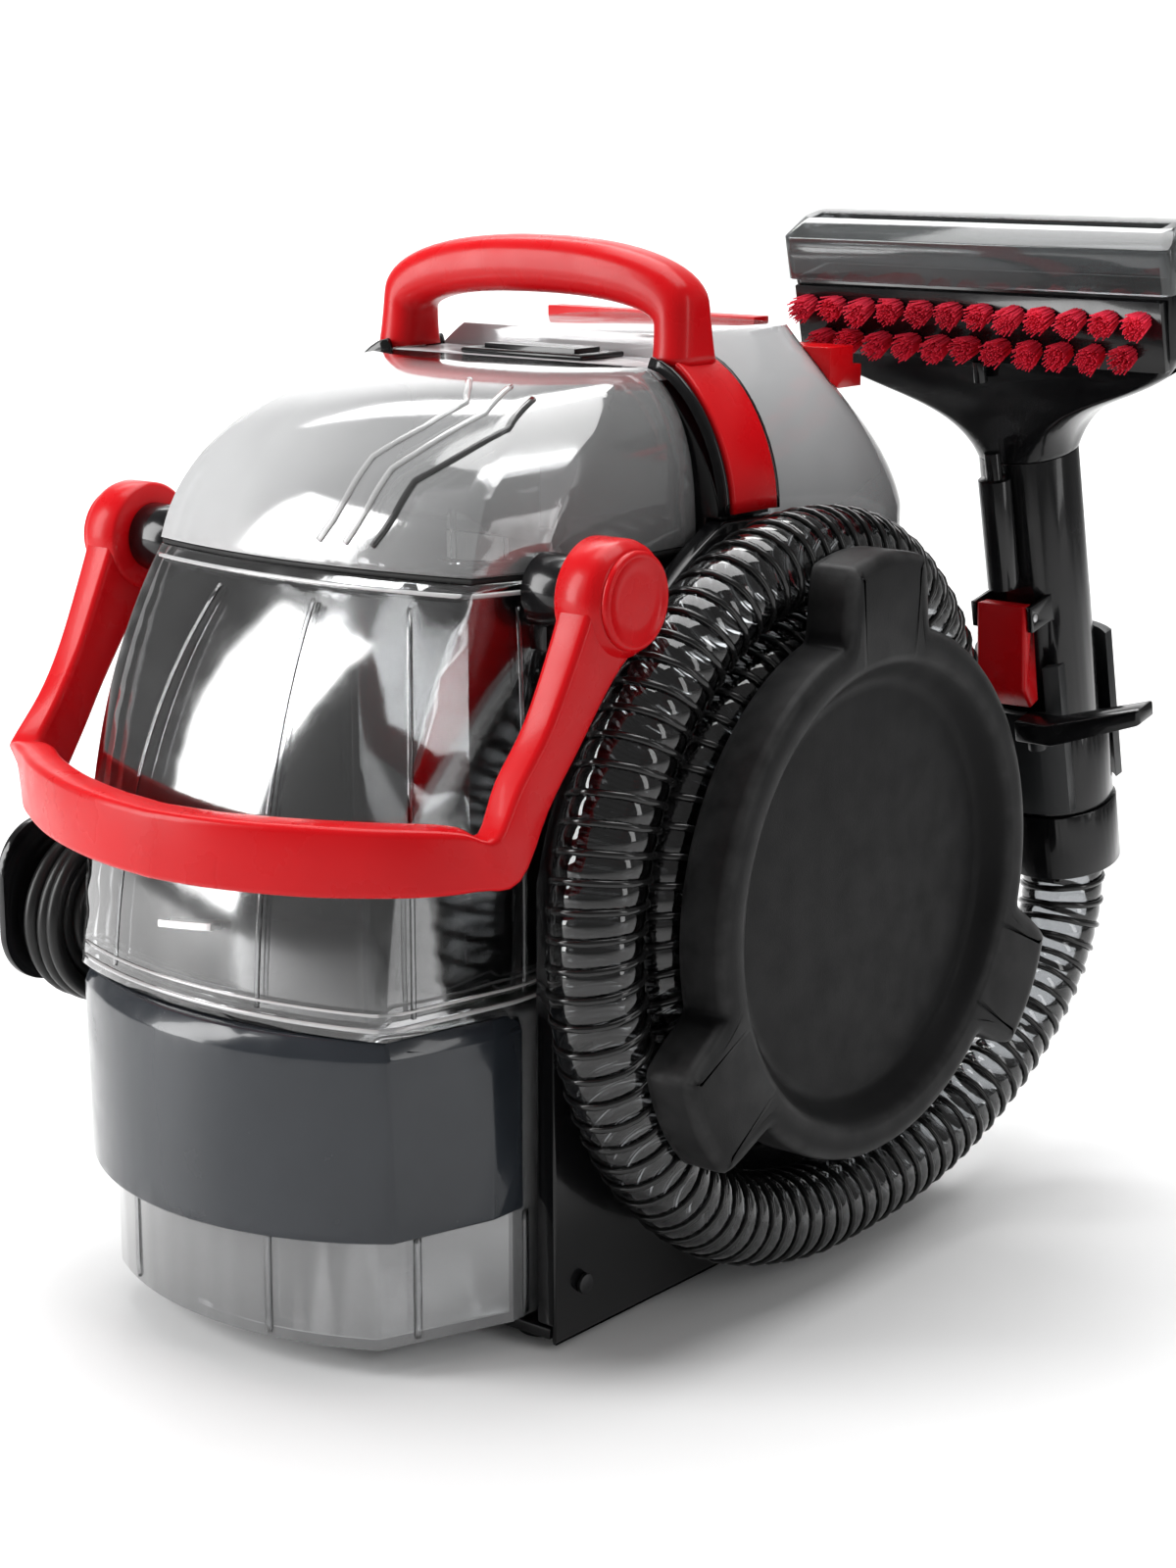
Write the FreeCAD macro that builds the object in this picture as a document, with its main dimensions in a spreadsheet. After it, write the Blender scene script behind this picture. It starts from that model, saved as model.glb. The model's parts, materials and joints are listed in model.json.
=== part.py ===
"""Portable spot extractor: a two-tank carpet and upholstery washer with a hose reel on its right side.

Frame: X runs across the machine and is zero on its mid-plane, with the hose reel on +X. Y is zero on
the plane of the carry handle, with the dirty tank on -Y. Z is up from the floor. Millimetres.
"""
import FreeCAD, Part
import Sketcher
import math
import os
from FreeCAD import Placement, Rotation, Vector

SIZES = {
    "Fits": {
        "fit_gap": 0.4, "slide_gap": 1.0, "hinge_gap": 0.4, "shaft_gap": 0.05,
    },
    "Base and housing": {
        "foot_radius": 9, "foot_height": 4, "tray_thickness": 4, "tray_half": 90, "tongue_half": 50,
        "tongue_front": 148, "panel_outer": 92, "panel_thickness": 8, "panel_front": 105,
        "panel_knee": 160, "panel_top": 268, "panel_bulge": 16, "panel_floor": 2,
        "housing_wall": 3, "housing_rear": 118, "housing_top": 146, "spine_half": 14,
        "spine_top": 318, "spine_top_half": 58, "spine_bulge": 5, "spine_shoulder": 90,
    },
    "Carry handle": {
        "grip_top": 360, "grip_half_span": 70, "grip_half_width": 11,
        "grip_shoulder": 338, "grip_leg": 15, "grip_corner": 7, "band_thickness": 2.4,
        "band_half_width": 12, "band_bottom": 270,
    },
    "Dirty tank": {
        "tank_half": 81, "tank_rear": 16, "tank_floor": 10, "tank_wall": 2.5, "skirt_bottom": 50,
        "tank_ledge": 118, "seam_height": 258, "tank_foot_front": 174, "tank_belly_front": 176,
        "seam_front": 128, "skirt_front": 186, "skirt_wall": 4, "lid_top": 318,
        "riser_half": 26, "riser_front": 70, "riser_wall": 2,
    },
    "Bail": {
        "pivot_forward": 96, "pivot_height": 255, "cap_radius": 19, "bail_gap": 8,
        "bail_width": 17, "bail_reach": 196, "bail_corner": 146, "bail_depth": 12,
        "bail_bottom": 169, "bail_height": 22, "trunnion_radius": 12,
    },
    "Hose and reel": {
        "hose_diameter": 33.5, "hose_offset": 20, "reel_back": 5, "reel_height": 144,
        "bottom_turn": 123.5, "outer_turn": 114.5, "inner_turn": 80, "hub_radius": 60, "hub_wall": 3,
        "disc_radius": 92, "disc_rise": 35, "dish_radius": 79.5, "dish_depth": 9,
        "lobe_radius": 117, "lobe_tip_half": 10, "lobe_root_half": 17,
    },
    "Cord": {
        "cord_diameter": 6.2, "wrap_height": 122, "wrap_front": 121, "wrap_rear": 20,
        "wrap_core": 8, "wrap_width": 24, "flange_low": 98, "flange_high": 158, "flange_corner": 20,
        "flange_thickness": 4, "coil_depth": 25, "lead_offset": 12,
    },
    "Clean tank": {
        "clean_half": 92, "clean_floor": 152, "clean_top": 326, "clean_rear": 114, "clean_wall": 2.5,
        "clean_top_rear": 91, "clean_top_half": 50, "clean_shoulder": 262,
    },
    "Tool": {
        "lean": 12.7, "tool_rear": 184.4, "tool_height": 116, "wand_radius": 18.5, "wand_wall": 2.5,
        "cuff_radius": 22.5, "cuff_bite": 2.75, "cuff_length": 26, "collar_radius": 21.5, "collar_top": 58,
        "wand_top": 168, "neck_top": 206, "head_half": 80, "head_depth": 26, "head_front": 30,
        "window_floor": 237, "window_top": 258, "tuft_radius": 4.6, "tuft_length": 11,
        "tuft_count": 12, "trigger_half": 10.5, "trigger_low": 76, "trigger_high": 116,
    },
    "Motor and pump": {
        "motor_x": -22, "motor_y": 54, "can_radius": 46, "can_wall": 3, "can_floor": 34,
        "can_top": 124, "shaft_radius": 5, "bearing_radius": 11, "rotor_radius": 30,
        "impeller_gap": 3, "impeller_height": 12, "pump_x": 54, "pump_radius": 18,
    },
}


class Size:
    """A length with both its value and the spreadsheet expression that gives it."""

    def __init__(self, value, text):
        self.value = value
        self.text = text

    def __add__(self, other):
        other = size(other)
        return Size(self.value + other.value, f"({self.text} + {other.text})")

    def __sub__(self, other):
        other = size(other)
        return Size(self.value - other.value, f"({self.text} - {other.text})")

    def __mul__(self, other):
        other = size(other)
        return Size(self.value * other.value, f"({self.text} * {other.text})")

    def __truediv__(self, other):
        other = size(other)
        return Size(self.value / other.value, f"({self.text} / {other.text})")

    def __radd__(self, other):
        return size(other) + self

    def __rsub__(self, other):
        return size(other) - self

    def __rmul__(self, other):
        return size(other) * self

    def __neg__(self):
        return size(0) - self


def size(number):
    return number if isinstance(number, Size) else Size(float(number), repr(float(number)))


class Named:
    """The named sizes of the sheet, each read as an attribute."""


doc = FreeCAD.newDocument("SpotExtractor")
sheet = doc.addObject("Spreadsheet::Sheet", "Sizes")
v = Named()
NODES = []


def fill_sheet():
    row = 1
    for group, entries in SIZES.items():
        sheet.set(f"A{row}", group)
        row += 1
        for alias, number in entries.items():
            sheet.set(f"A{row}", alias)
            sheet.set(f"B{row}", str(number))
            sheet.setAlias(f"B{row}", alias)
            setattr(v, alias, Size(float(number), f"Sizes.{alias}"))
            row += 1
    v.hose_plane = v.panel_outer + v.hose_offset
    v.lead_plane = v.panel_outer + v.lead_offset
    v.disc_face = v.hose_plane + v.disc_rise
    v.bail_inner = v.panel_outer + v.bail_gap
    v.bail_outer = v.bail_inner + v.bail_width
    v.impeller_radius = v.can_radius - v.can_wall - v.impeller_gap
    doc.recompute()


def bind(thing, prop, length):
    thing.setExpression(prop, size(length).text)


def node(thing, label):
    thing.Label = label
    NODES.append(thing)
    return thing


# ---- Part primitives bound to the sheet ----

def block(x, y, z):
    """A box between three (low, high) pairs."""
    box = doc.addObject("Part::Box", "Block")
    for prop, base, (low, high) in zip(("Length", "Width", "Height"), "xyz", (x, y, z)):
        bind(box, prop, size(high) - low)
        bind(box, f"Placement.Base.{base}", low)
    return box


TURNS = {"x": Rotation(Vector(0, 1, 0), 90), "y": Rotation(Vector(1, 0, 0), -90), "z": Rotation()}


def rod(axis, centre, radius, low, high):
    """A cylinder along an axis; centre gives the two other coordinates in X, Y, Z order."""
    bar = doc.addObject("Part::Cylinder", "Rod")
    bar.Placement = Placement(Vector(), TURNS[axis])
    bind(bar, "Radius", radius)
    bind(bar, "Height", size(high) - low)
    bind(bar, f"Placement.Base.{axis}", low)
    for base, place in zip("xyz".replace(axis, ""), centre):
        bind(bar, f"Placement.Base.{base}", place)
    return bar


def cone(axis, centre, radius_low, radius_high, low, high):
    bar = doc.addObject("Part::Cone", "Taper")
    bar.Placement = Placement(Vector(), TURNS[axis])
    bind(bar, "Radius1", radius_low)
    bind(bar, "Radius2", radius_high)
    bind(bar, "Height", size(high) - low)
    bind(bar, f"Placement.Base.{axis}", low)
    for base, place in zip("xyz".replace(axis, ""), centre):
        bind(bar, f"Placement.Base.{base}", place)
    return bar


def fuse(*pieces):
    joined = doc.addObject("Part::MultiFuse", "Joined")
    joined.Shapes = list(pieces)
    return joined


def cut(base, *tools):
    result = doc.addObject("Part::Cut", "Cut")
    result.Base = base
    result.Tool = tools[0] if len(tools) == 1 else fuse(*tools)
    return result


def tube(axis, centre, outer, inner, low, high):
    return cut(rod(axis, centre, outer, low, high), rod(axis, centre, inner, low, high))


# ---- PartDesign bodies drawn from outlines ----

NORMALS = {"XY_Plane": 1, "XZ_Plane": -1, "YZ_Plane": 1}


def sketch_on(body, role, height):
    plane = [f for f in body.Origin.OriginFeatures if f.Role == role][0]
    sketch = body.newObject("Sketcher::SketchObject", "Sketch")
    sketch.AttachmentSupport = [(plane, "")]
    sketch.MapMode = "FlatFace"
    bind(sketch, "AttachmentOffset.Base.z", NORMALS[role] * size(height))
    return sketch


def pin_point(sketch, index, end, place):
    for kind, length in zip(("DistanceX", "DistanceY"), place):
        number = sketch.addConstraint(Sketcher.Constraint(kind, -1, 1, index, end, size(length).value))
        bind(sketch, f"Constraints[{number}]", length)


def draw(sketch, outline):
    """Draws a closed outline: a list of corners, each (x, y) or (x, y, bulge) for an arc to the next."""
    corners = [(size(c[0]), size(c[1]), c[2] if len(c) > 2 else None) for c in outline]
    ends = []
    for here, there in zip(corners, corners[1:] + corners[:1]):
        start = Vector(here[0].value, here[1].value, 0)
        stop = Vector(there[0].value, there[1].value, 0)
        if here[2] is None:
            index = sketch.addGeometry(Part.LineSegment(start, stop), False)
            ends.append((index, 1, 2))
            continue
        bulge = size(here[2]).value
        chord = stop - start
        out = Vector(chord.y, -chord.x, 0).normalize()
        middle = (start + stop) / 2 + out * bulge
        arc = Part.Arc(start, middle, stop) if bulge > 0 else Part.Arc(stop, middle, start)
        index = sketch.addGeometry(arc, False)
        drawn = sketch.Geometry[index]
        ends.append((index, 1, 2) if bulge > 0 else (index, 2, 1))
        kind, place = (("DistanceX", drawn.Center.x) if abs(out.x) > abs(out.y) else
                       ("DistanceY", drawn.Center.y))
        sketch.addConstraint(Sketcher.Constraint(kind, -1, 1, index, 3, place))
    for (index, _, last), (following, first, _) in zip(ends, ends[1:] + ends[:1]):
        sketch.addConstraint(Sketcher.Constraint("Coincident", index, last, following, first))
    for (index, first, _), corner in zip(ends, corners):
        pin_point(sketch, index, first, corner[:2])


def draw_circle(sketch, x, y, radius):
    centre = Vector(size(x).value, size(y).value, 0)
    index = sketch.addGeometry(Part.Circle(centre, Vector(0, 0, 1), size(radius).value), False)
    pin_point(sketch, index, 3, (x, y))
    number = sketch.addConstraint(Sketcher.Constraint("Radius", index, size(radius).value))
    bind(sketch, f"Constraints[{number}]", radius)


def prism(role, outline, low, high, rounding=None):
    """A body whose outline on a plane is padded from low to high along that plane's axis."""
    body = doc.addObject("PartDesign::Body", "Body")
    start = high if NORMALS[role] < 0 else low
    sketch = sketch_on(body, role, start)
    draw(sketch, outline)
    pad = body.newObject("PartDesign::Pad", "Pad")
    pad.Profile = sketch
    bind(pad, "Length", size(high) - low)
    doc.recompute()
    if rounding is not None:
        along = {"XY_Plane": 2, "XZ_Plane": 1, "YZ_Plane": 0}[role]
        names = [f"Edge{i + 1}" for i, e in enumerate(pad.Shape.Edges) if runs_along(e, along)]
        round_edges(body, pad, names, rounding)
    return body


def runs_along(edge, along):
    span = edge.Vertexes[-1].Point - edge.Vertexes[0].Point
    return len(edge.Vertexes) == 2 and abs(span[along]) > 0.999 * span.Length > 0


def round_edges(body, base, names, radius):
    fillet = body.newObject("PartDesign::Fillet", "Fillet")
    fillet.Base = (base, names)
    bind(fillet, "Radius", radius)
    body.Tip = fillet
    doc.recompute()
    return fillet


def rim_edges(shape, axis, place):
    """The names of the edges that lie in the plane axis = place."""
    names = []
    for i, edge in enumerate(shape.Edges):
        box = edge.BoundBox
        low, high = (box.XMin, box.XMax) if axis == "x" else (box.YMin, box.YMax)
        if axis == "z":
            low, high = box.ZMin, box.ZMax
        if abs(low - place) < 0.01 and abs(high - place) < 0.01:
            names.append(f"Edge{i + 1}")
    return names


def pocket(body, role, outline, low, high):
    """Cuts an outline out of a body from low to high along the plane's axis."""
    start = low if NORMALS[role] < 0 else high
    sketch = sketch_on(body, role, start)
    draw(sketch, outline)
    hollow = body.newObject("PartDesign::Pocket", "Pocket")
    hollow.Profile = sketch
    bind(hollow, "Length", size(high) - low)
    doc.recompute()
    return body


def rectangle(x_low, x_high, y_low, y_high):
    return [(x_low, y_low), (x_high, y_low), (x_high, y_high), (x_low, y_high)]


def feature(shape, place=None):
    """A free-form piece whose shape is made with Part's own functions from the sheet's values."""
    piece = doc.addObject("Part::Feature", "Shaped")
    piece.Shape = shape
    if place is not None:
        piece.Placement = place
    return piece


# ---- Base, housing and carry handle ----

def base_tray():
    outline = [
        (-v.tray_half, v.housing_rear), (-v.tray_half, -v.panel_front), (-v.tongue_half, -v.panel_front),
        (-v.tongue_half, -v.tongue_front), (v.tongue_half, -v.tongue_front),
        (v.tongue_half, -v.panel_front), (v.tray_half, -v.panel_front), (v.tray_half, v.housing_rear),
    ]
    return prism("XY_Plane", outline, v.foot_height, v.foot_height + v.tray_thickness)


def rubber_feet():
    inset = v.foot_radius * 1.6
    side = v.tray_half - inset
    tip = v.tongue_half - inset
    places = [(side, -v.panel_front + inset), (side, v.housing_rear - inset), (tip, -v.tongue_front + inset)]
    feet = [rod("z", (0, 0), v.foot_radius, 0, v.foot_height)]
    for x, y in places:
        for across in (x, -x):
            feet.append(rod("z", (across, y), v.foot_radius, 0, v.foot_height))
    return fuse(*feet)


def side_panel(low, high):
    """One cheek beside the dirty tank; its front edge sweeps up and back to the carry handle."""
    outline = [
        (-v.panel_front, v.panel_floor), (v.housing_rear, v.panel_floor),
        (v.housing_rear, v.housing_top - v.fit_gap), (v.spine_half, v.housing_top - v.fit_gap),
        (v.spine_half, v.panel_top), (-v.spine_half, v.panel_top, v.panel_bulge),
        (-v.panel_front, v.panel_knee),
    ]
    body = prism("YZ_Plane", outline, low, high)
    tray_top = v.foot_height + v.tray_thickness + v.fit_gap
    notch = rectangle(-v.panel_front - 1, v.housing_rear + 1, v.panel_floor - 1, tray_top)
    inner = (low, v.tray_half + v.fit_gap) if low.value > 0 else (-v.tray_half - v.fit_gap, high)
    return pocket(body, "YZ_Plane", notch, *inner)


def main_housing():
    """The lower box behind the dirty tank that holds the motor and the pump, open underneath."""
    half = v.panel_outer - v.panel_thickness - v.fit_gap
    front = -v.spine_half
    floor = v.foot_height + v.tray_thickness + v.fit_gap
    top = v.housing_top
    outer = block((-half, half), (front, v.housing_rear), (floor, top))
    wall = v.housing_wall
    inner = block((-half + wall, half - wall), (front + wall, v.housing_rear - wall), (floor - 1, top - wall))
    vent = block((-46, 30), (v.housing_rear - wall - 1, v.housing_rear + 1), (40, 110))
    intake = rod("z", (v.motor_x, 0), 7, top - wall - 1, top + 1)
    supply = rod("z", (v.pump_x, 70), 4, top - wall - 1, top + 1)
    return cut(outer, inner, vent, intake, supply)


def upper_housing():
    """The arched spine between the two tanks, which carries the handle and the air duct."""
    low = v.housing_top + v.fit_gap
    inner = v.panel_outer - v.panel_thickness - v.fit_gap
    shoulder = v.panel_top + v.fit_gap
    top = v.spine_top
    bulge = v.spine_bulge

    def arch(edge, lift, drop):
        return [
            (-inner + edge, low + lift), (inner - edge, low + lift), (inner - edge, shoulder),
            (v.spine_shoulder - edge, shoulder, bulge), (v.spine_top_half - edge, top - drop),
            (-v.spine_top_half + edge, top - drop, bulge), (-v.spine_shoulder + edge, shoulder),
            (-inner + edge, shoulder),
        ]

    body = prism("XZ_Plane", arch(size(0), size(0), size(0)), -v.spine_half, v.spine_half)
    wall = v.housing_wall
    pocket(body, "XZ_Plane", arch(wall, wall, wall), -v.spine_half + wall, v.spine_half - wall)
    seat = rectangle(-24, 24, -9, 9)
    pocket(body, "XY_Plane", seat, top - wall - 1, top + 1)
    duct = rectangle(v.motor_x - 8, v.motor_x + 8, -8, 8)
    return pocket(body, "XY_Plane", duct, low - 1, low + wall + 1)


def flank(edge):
    """Points of one flank of the spine, moved outwards by edge."""
    return v.spine_shoulder + edge, v.spine_top_half + edge


def carry_handle():
    """The grip and its two flank bands: one moulding that straps over the spine."""
    half = v.grip_half_span
    leg = v.grip_leg
    low = v.spine_top + v.fit_gap
    inner = half - leg
    rise = v.grip_top - v.grip_shoulder
    outline = [
        (-half, low), (-inner, low), (-inner, v.grip_shoulder - leg * 0.5, -9),
        (inner, v.grip_shoulder - leg * 0.5), (inner, low), (half, low), (half, v.grip_shoulder, rise),
        (-half, v.grip_shoulder),
    ]
    body = prism("XZ_Plane", outline, -v.grip_half_width, v.grip_half_width)
    corners = [f"Edge{i + 1}" for i, e in enumerate(body.Shape.Edges)
               if runs_along(e, 1) and e.BoundBox.ZMin > low.value + 1]
    round_edges(body, body.Tip, corners, v.grip_corner)
    return fuse(body, handle_band(1), handle_band(-1))


def handle_band(side):
    """A band down one flank of the spine, from the grip's foot to the top of the side panel."""
    near = v.fit_gap
    far = v.fit_gap + v.band_thickness
    shoulder_near, top_near = flank(near)
    shoulder_far, top_far = flank(far)
    low = v.band_bottom
    high = v.spine_top + v.fit_gap + 2
    bulge = v.spine_bulge
    if side > 0:
        foot = [(shoulder_near, low), (shoulder_far, low, bulge)]
        outline = foot + [(top_far, high), (top_near, high, -bulge)]
    else:
        foot = [(-shoulder_far, low), (-shoulder_near, low, -bulge)]
        outline = foot + [(-top_near, high), (-top_far, high, bulge)]
    return prism("XZ_Plane", outline, -v.band_half_width, v.band_half_width)


def switch_bezel():
    top = v.spine_top
    frame = block((-28, 28), (-v.grip_half_width - 1, v.grip_half_width + 1), (top, top + 2))
    return cut(frame, block((-22, 22), (-8, 8), (top - 1, top + 3)))


def power_switch():
    top = v.spine_top
    return block((-21, 21), (-7, 7), (top - 5, top + 3.5))


def exhaust_grille():
    rear = v.housing_rear
    plate = block((-52, 36), (rear + v.fit_gap, rear + 3.4), (34, 116))
    slots = [block((-44, 28), (rear - 1, rear + 5), (low, low + 5)) for low in range(42, 106, 10)]
    return cut(plate, *slots)


def housing_screws():
    screws = []
    for y, z in ((100, 30), (100, 132), (-90, 20)):
        for side in (1, -1):
            face = v.panel_outer + v.fit_gap
            low, high = (face, face + 1.4) if side > 0 else (-face - 1.4, -face)
            screws.append(rod("x", (y, z), 3.5, low, high))
    return fuse(*screws)


# ---- Motor and pump ----

def motor_housing():
    centre = (v.motor_x, v.motor_y)
    can = rod("z", centre, v.can_radius, v.can_floor, v.can_top)
    inner = rod("z", centre, v.can_radius - v.can_wall, v.can_floor + v.can_wall, v.can_top - v.can_wall)
    seats = [rod("z", centre, v.bearing_radius, v.can_floor - 1, v.can_floor + v.can_wall + 1),
             rod("z", centre, v.bearing_radius, v.can_top - v.can_wall - 1, v.can_top + 1)]
    return cut(can, inner, *seats)


def motor_bearings():
    centre = (v.motor_x, v.motor_y)
    bore = v.shaft_radius + v.shaft_gap
    outer = v.bearing_radius - v.shaft_gap
    lower = tube("z", centre, outer, bore, v.can_floor, v.can_floor + v.can_wall)
    upper = tube("z", centre, outer, bore, v.can_top - v.can_wall, v.can_top)
    return fuse(lower, upper)


def motor_rotor():
    centre = (v.motor_x, v.motor_y)
    shaft = rod("z", centre, v.shaft_radius, v.can_floor, v.can_top)
    core = rod("z", centre, v.rotor_radius, v.can_floor + 14, v.can_top - 34)
    return fuse(shaft, core)


def suction_impeller():
    """A back plate with eight straight blades round a hub."""
    base = Vector(v.motor_x.value, v.motor_y.value, (v.can_top - v.can_wall - v.impeller_height - 6).value)
    up = Vector(0, 0, 1)
    height = v.impeller_height.value
    wheel = Part.makeCylinder(12, height, base).fuse(Part.makeCylinder(v.impeller_radius.value, 2, base))
    for turn in range(8):
        blade = Part.makeBox(v.impeller_radius.value - 12, 2, height - 1, base + Vector(10, -1, 1))
        blade.rotate(base, up, turn * 45)
        wheel = wheel.fuse(blade)
    return feature(wheel.cut(Part.makeCylinder(v.shaft_radius.value, height + 2, base - up)))


def spray_pump():
    centre = (v.pump_x, 40)
    cap = block((v.pump_x - 14, v.pump_x + 14), (30, 62), (74, 96))
    return fuse(rod("z", centre, v.pump_radius, 30, 74), cap)


def rubber_mounts():
    """The soft rings that the motor and the pump stand on."""
    floor = v.foot_height + v.tray_thickness + v.fit_gap
    pump = tube("z", (v.pump_x, 40), v.pump_radius, 12, floor, 30)
    outer = v.can_radius - 6
    motor = tube("z", (v.motor_x, v.motor_y), outer, v.can_radius - 18, floor, v.can_floor)
    return fuse(pump, motor)


def water_tube():
    return tube("z", (v.pump_x, 70), 3.6, 2, 60, v.housing_top + v.fit_gap)


# ---- Dirty tank, lid and bail ----

def plan_wire(z, front, corner_x, corner_y, side_x, side_y, rear):
    """A tank's outline at one height: flat back and sides, two facets and a bowed front."""
    left = [Vector(-side_x, rear, z), Vector(-side_x, side_y, z), Vector(-corner_x, corner_y, z)]
    right = [Vector(corner_x, corner_y, z), Vector(side_x, side_y, z), Vector(side_x, rear, z)]
    bow = Part.Arc(left[2], Vector(0, front, z), right[0]).toShape()
    lines = [Part.makeLine(left[0], left[1]), Part.makeLine(left[1], left[2]), bow,
             Part.makeLine(right[0], right[1]), Part.makeLine(right[1], right[2]),
             Part.makeLine(right[2], left[0])]
    return Part.Wire(lines)


def loft(levels, inset=0.0, ruled=False):
    wires = []
    for z, front, corner_x, corner_y, side_x, side_y, rear in levels:
        wires.append(plan_wire(z, front + inset, corner_x - inset, corner_y + inset * 0.8,
                               side_x - inset, side_y + inset * 0.3, rear - inset))
    return Part.makeLoft(wires, True, ruled)


def tank_levels():
    """Heights of the clear tank: z, front, corner x, corner y, side x, side y, rear."""
    half = v.tank_half.value
    rear = -v.tank_rear.value
    belly = v.tank_belly_front.value
    foot = v.tank_foot_front.value
    seam = v.seam_front.value
    ledge = v.tank_ledge.value
    top = v.seam_height.value
    rise = top - ledge
    lower = [
        (v.tank_floor.value, -foot, half - 19, -foot + 17, half - 1, -112, rear),
        (ledge - 4, -foot + 1, half - 19, -foot + 17, half - 1, -112, rear),
    ]
    upper = [
        (ledge, -belly, half - 10, -belly + 14, half, -112, rear),
        (ledge + rise * 0.35, -belly + 6, half - 10, -belly + 20, half, -110, rear),
        (ledge + rise * 0.7, -belly + 22, half - 10, -belly + 33, half, -104, rear),
        (top, -seam, half - 10, -seam + 9, half, -92, rear),
    ]
    return lower, upper


def tank_shell():
    lower, upper = tank_levels()
    wall = v.tank_wall.value
    step = [lower[-1], (v.tank_ledge.value,) + lower[-1][1:]]
    outer = loft(lower, 0, True).fuse(loft(step, 0, True)).fuse(loft(upper))
    floor = (lower[0][0] + wall,) + lower[0][1:]
    through = (v.tank_ledge.value + wall,) + lower[-1][1:]
    above = [(upper[0][0] + wall,) + upper[0][1:]] + upper[1:-1] + [(upper[-1][0] + 1,) + upper[-1][1:]]
    inner = loft([floor, through], wall, True).fuse(loft(above, wall))
    return feature(outer.cut(inner).removeSplitter())


def tank_seal():
    """The rubber ring that rests on the tank's rim, under the lid."""
    top = v.seam_height.value + 0.1
    thick = v.fit_gap.value * 4
    level = tank_levels()[1][-1][1:]
    ring = loft([(top,) + level, (top + thick,) + level], 0.3, True)
    hole = loft([(top - 1,) + level, (top + thick + 1,) + level], v.tank_wall.value, True)
    return feature(ring.cut(hole))


def tank_riser():
    """The square stand-pipe in the tank that lifts dirty water past the float."""
    half = v.riser_half
    front = -v.riser_front
    wall = v.riser_wall
    low = v.tank_floor + v.tank_wall
    high = v.seam_height - 14
    outer = block((-half, half), (front, front + 30), (low, high))
    inner = block((-half + wall, half - wall), (front + wall, front + 30 - wall), (low + 20, high + 1))
    mouth = block((-half + 8, half - 8), (front - 1, front + wall + 1), (low + 20, low + 60))
    return cut(outer, inner, mouth)


def skirt_levels():
    bottom = v.skirt_bottom.value
    top = v.tank_ledge.value - v.fit_gap.value
    front = v.skirt_front.value
    half = v.tank_half.value + 1
    knee = v.panel_front.value + 3
    return [
        (bottom, -front, half - 11, -front + 26, half, -knee - 16, -knee),
        (top - 6, -front + 3, half - 11, -front + 25, half, -knee - 14, -knee),
        (top, -front + 7, half - 13, -front + 26, half - 2, -knee - 13, -knee),
    ]


def skirt_panel():
    """The glossy apron clipped round the front of the tank, clear of the tank's own wall."""
    levels = skirt_levels()
    bottom, top = levels[0][0], levels[-1][0]
    wall = v.skirt_wall.value
    inner = loft([(bottom - 1,) + levels[0][1:], (top - wall,) + levels[1][1:]], wall, True)
    lower, _ = tank_levels()
    room = [(bottom - 2,) + lower[1][1:], (top + 2,) + lower[1][1:]]
    wide = loft(room, -v.fit_gap.value, True)
    open_back = Part.makeBox(400, 60, 200, Vector(-200, -v.panel_front.value - 3.5, 0))
    return feature(loft(levels, 0, True).cut(inner).cut(wide).cut(open_back))


def trunnions():
    gap = v.hinge_gap
    centre = (-v.pivot_forward, v.pivot_height)
    barrels = []
    for side in (1, -1):
        near, far = v.tank_half + v.fit_gap, v.bail_inner - gap
        hub_far = v.bail_outer - 6
        low, high = (near, far) if side > 0 else (-far, -near)
        barrels.append(rod("x", centre, v.trunnion_radius, low, high))
        low, high = (near - 2, near + 4) if side > 0 else (-near - 4, -near + 2)
        barrels.append(block((low, high), (-v.pivot_forward - 4, -v.pivot_forward + 8),
                             (v.seam_height - 22, v.seam_height - v.fit_gap)))
        low, high = (far, hub_far) if side > 0 else (-hub_far, -far)
        barrels.append(rod("x", centre, v.trunnion_radius - 4, low, high))
    return fuse(*barrels)


def lid_levels():
    base = v.seam_height.value + v.fit_gap.value * 5
    top = v.lid_top.value
    rise = top - base
    half = v.tank_half.value
    front = v.seam_front.value
    rear = -v.tank_rear.value
    return [
        (base, -front, half - 10, -front + 9, half, -92, rear),
        (base + rise * 0.35, -front + 8, half - 13, -front + 18, half - 1, -84, rear),
        (base + rise * 0.65, -front + 24, half - 20, -front + 35, half - 5, -66, rear),
        (base + rise * 0.88, -front + 50, half - 32, -front + 60, half - 13, -46, rear),
        (top, -front + 86, half - 48, -front + 92, half - 24, -26, rear),
    ]


def tank_lid():
    levels = lid_levels()
    wall = v.tank_wall.value
    steps = len(levels) - 1
    inside = [(level[0] - wall * i / steps,) + level[1:] for i, level in enumerate(levels)]
    inside[0] = (levels[0][0] - 1,) + levels[0][1:]
    return feature(loft(levels).cut(loft(inside, wall)))


def lid_baffle():
    """The splash plate inside the lid that throws water down and lets air over the top."""
    rear = -v.tank_rear
    low = v.seam_height + 4
    return cut(block((-44, 44), (rear - 40, rear - 37.5), (low, low + 26)),
               block((-10, 10), (rear - 42, rear - 36), (low + 16, low + 31)))


def float_cage():
    """Four posts on a ring that guide the float under the lid's air port."""
    x, y = centre = float_centre()
    top = v.seam_height + 34
    ring = tube("z", centre, 15, 10, top - 3, top)
    foot = tube("z", centre, 15, 10, v.seam_height - 10, v.seam_height - 8)
    spots = [(x + 13, y), (x - 13, y), (x, y + 13), (x, y - 13)]
    posts = [rod("z", spot, 1.2, v.seam_height - 9, top - 1) for spot in spots]
    return fuse(ring, foot, *posts)


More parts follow.
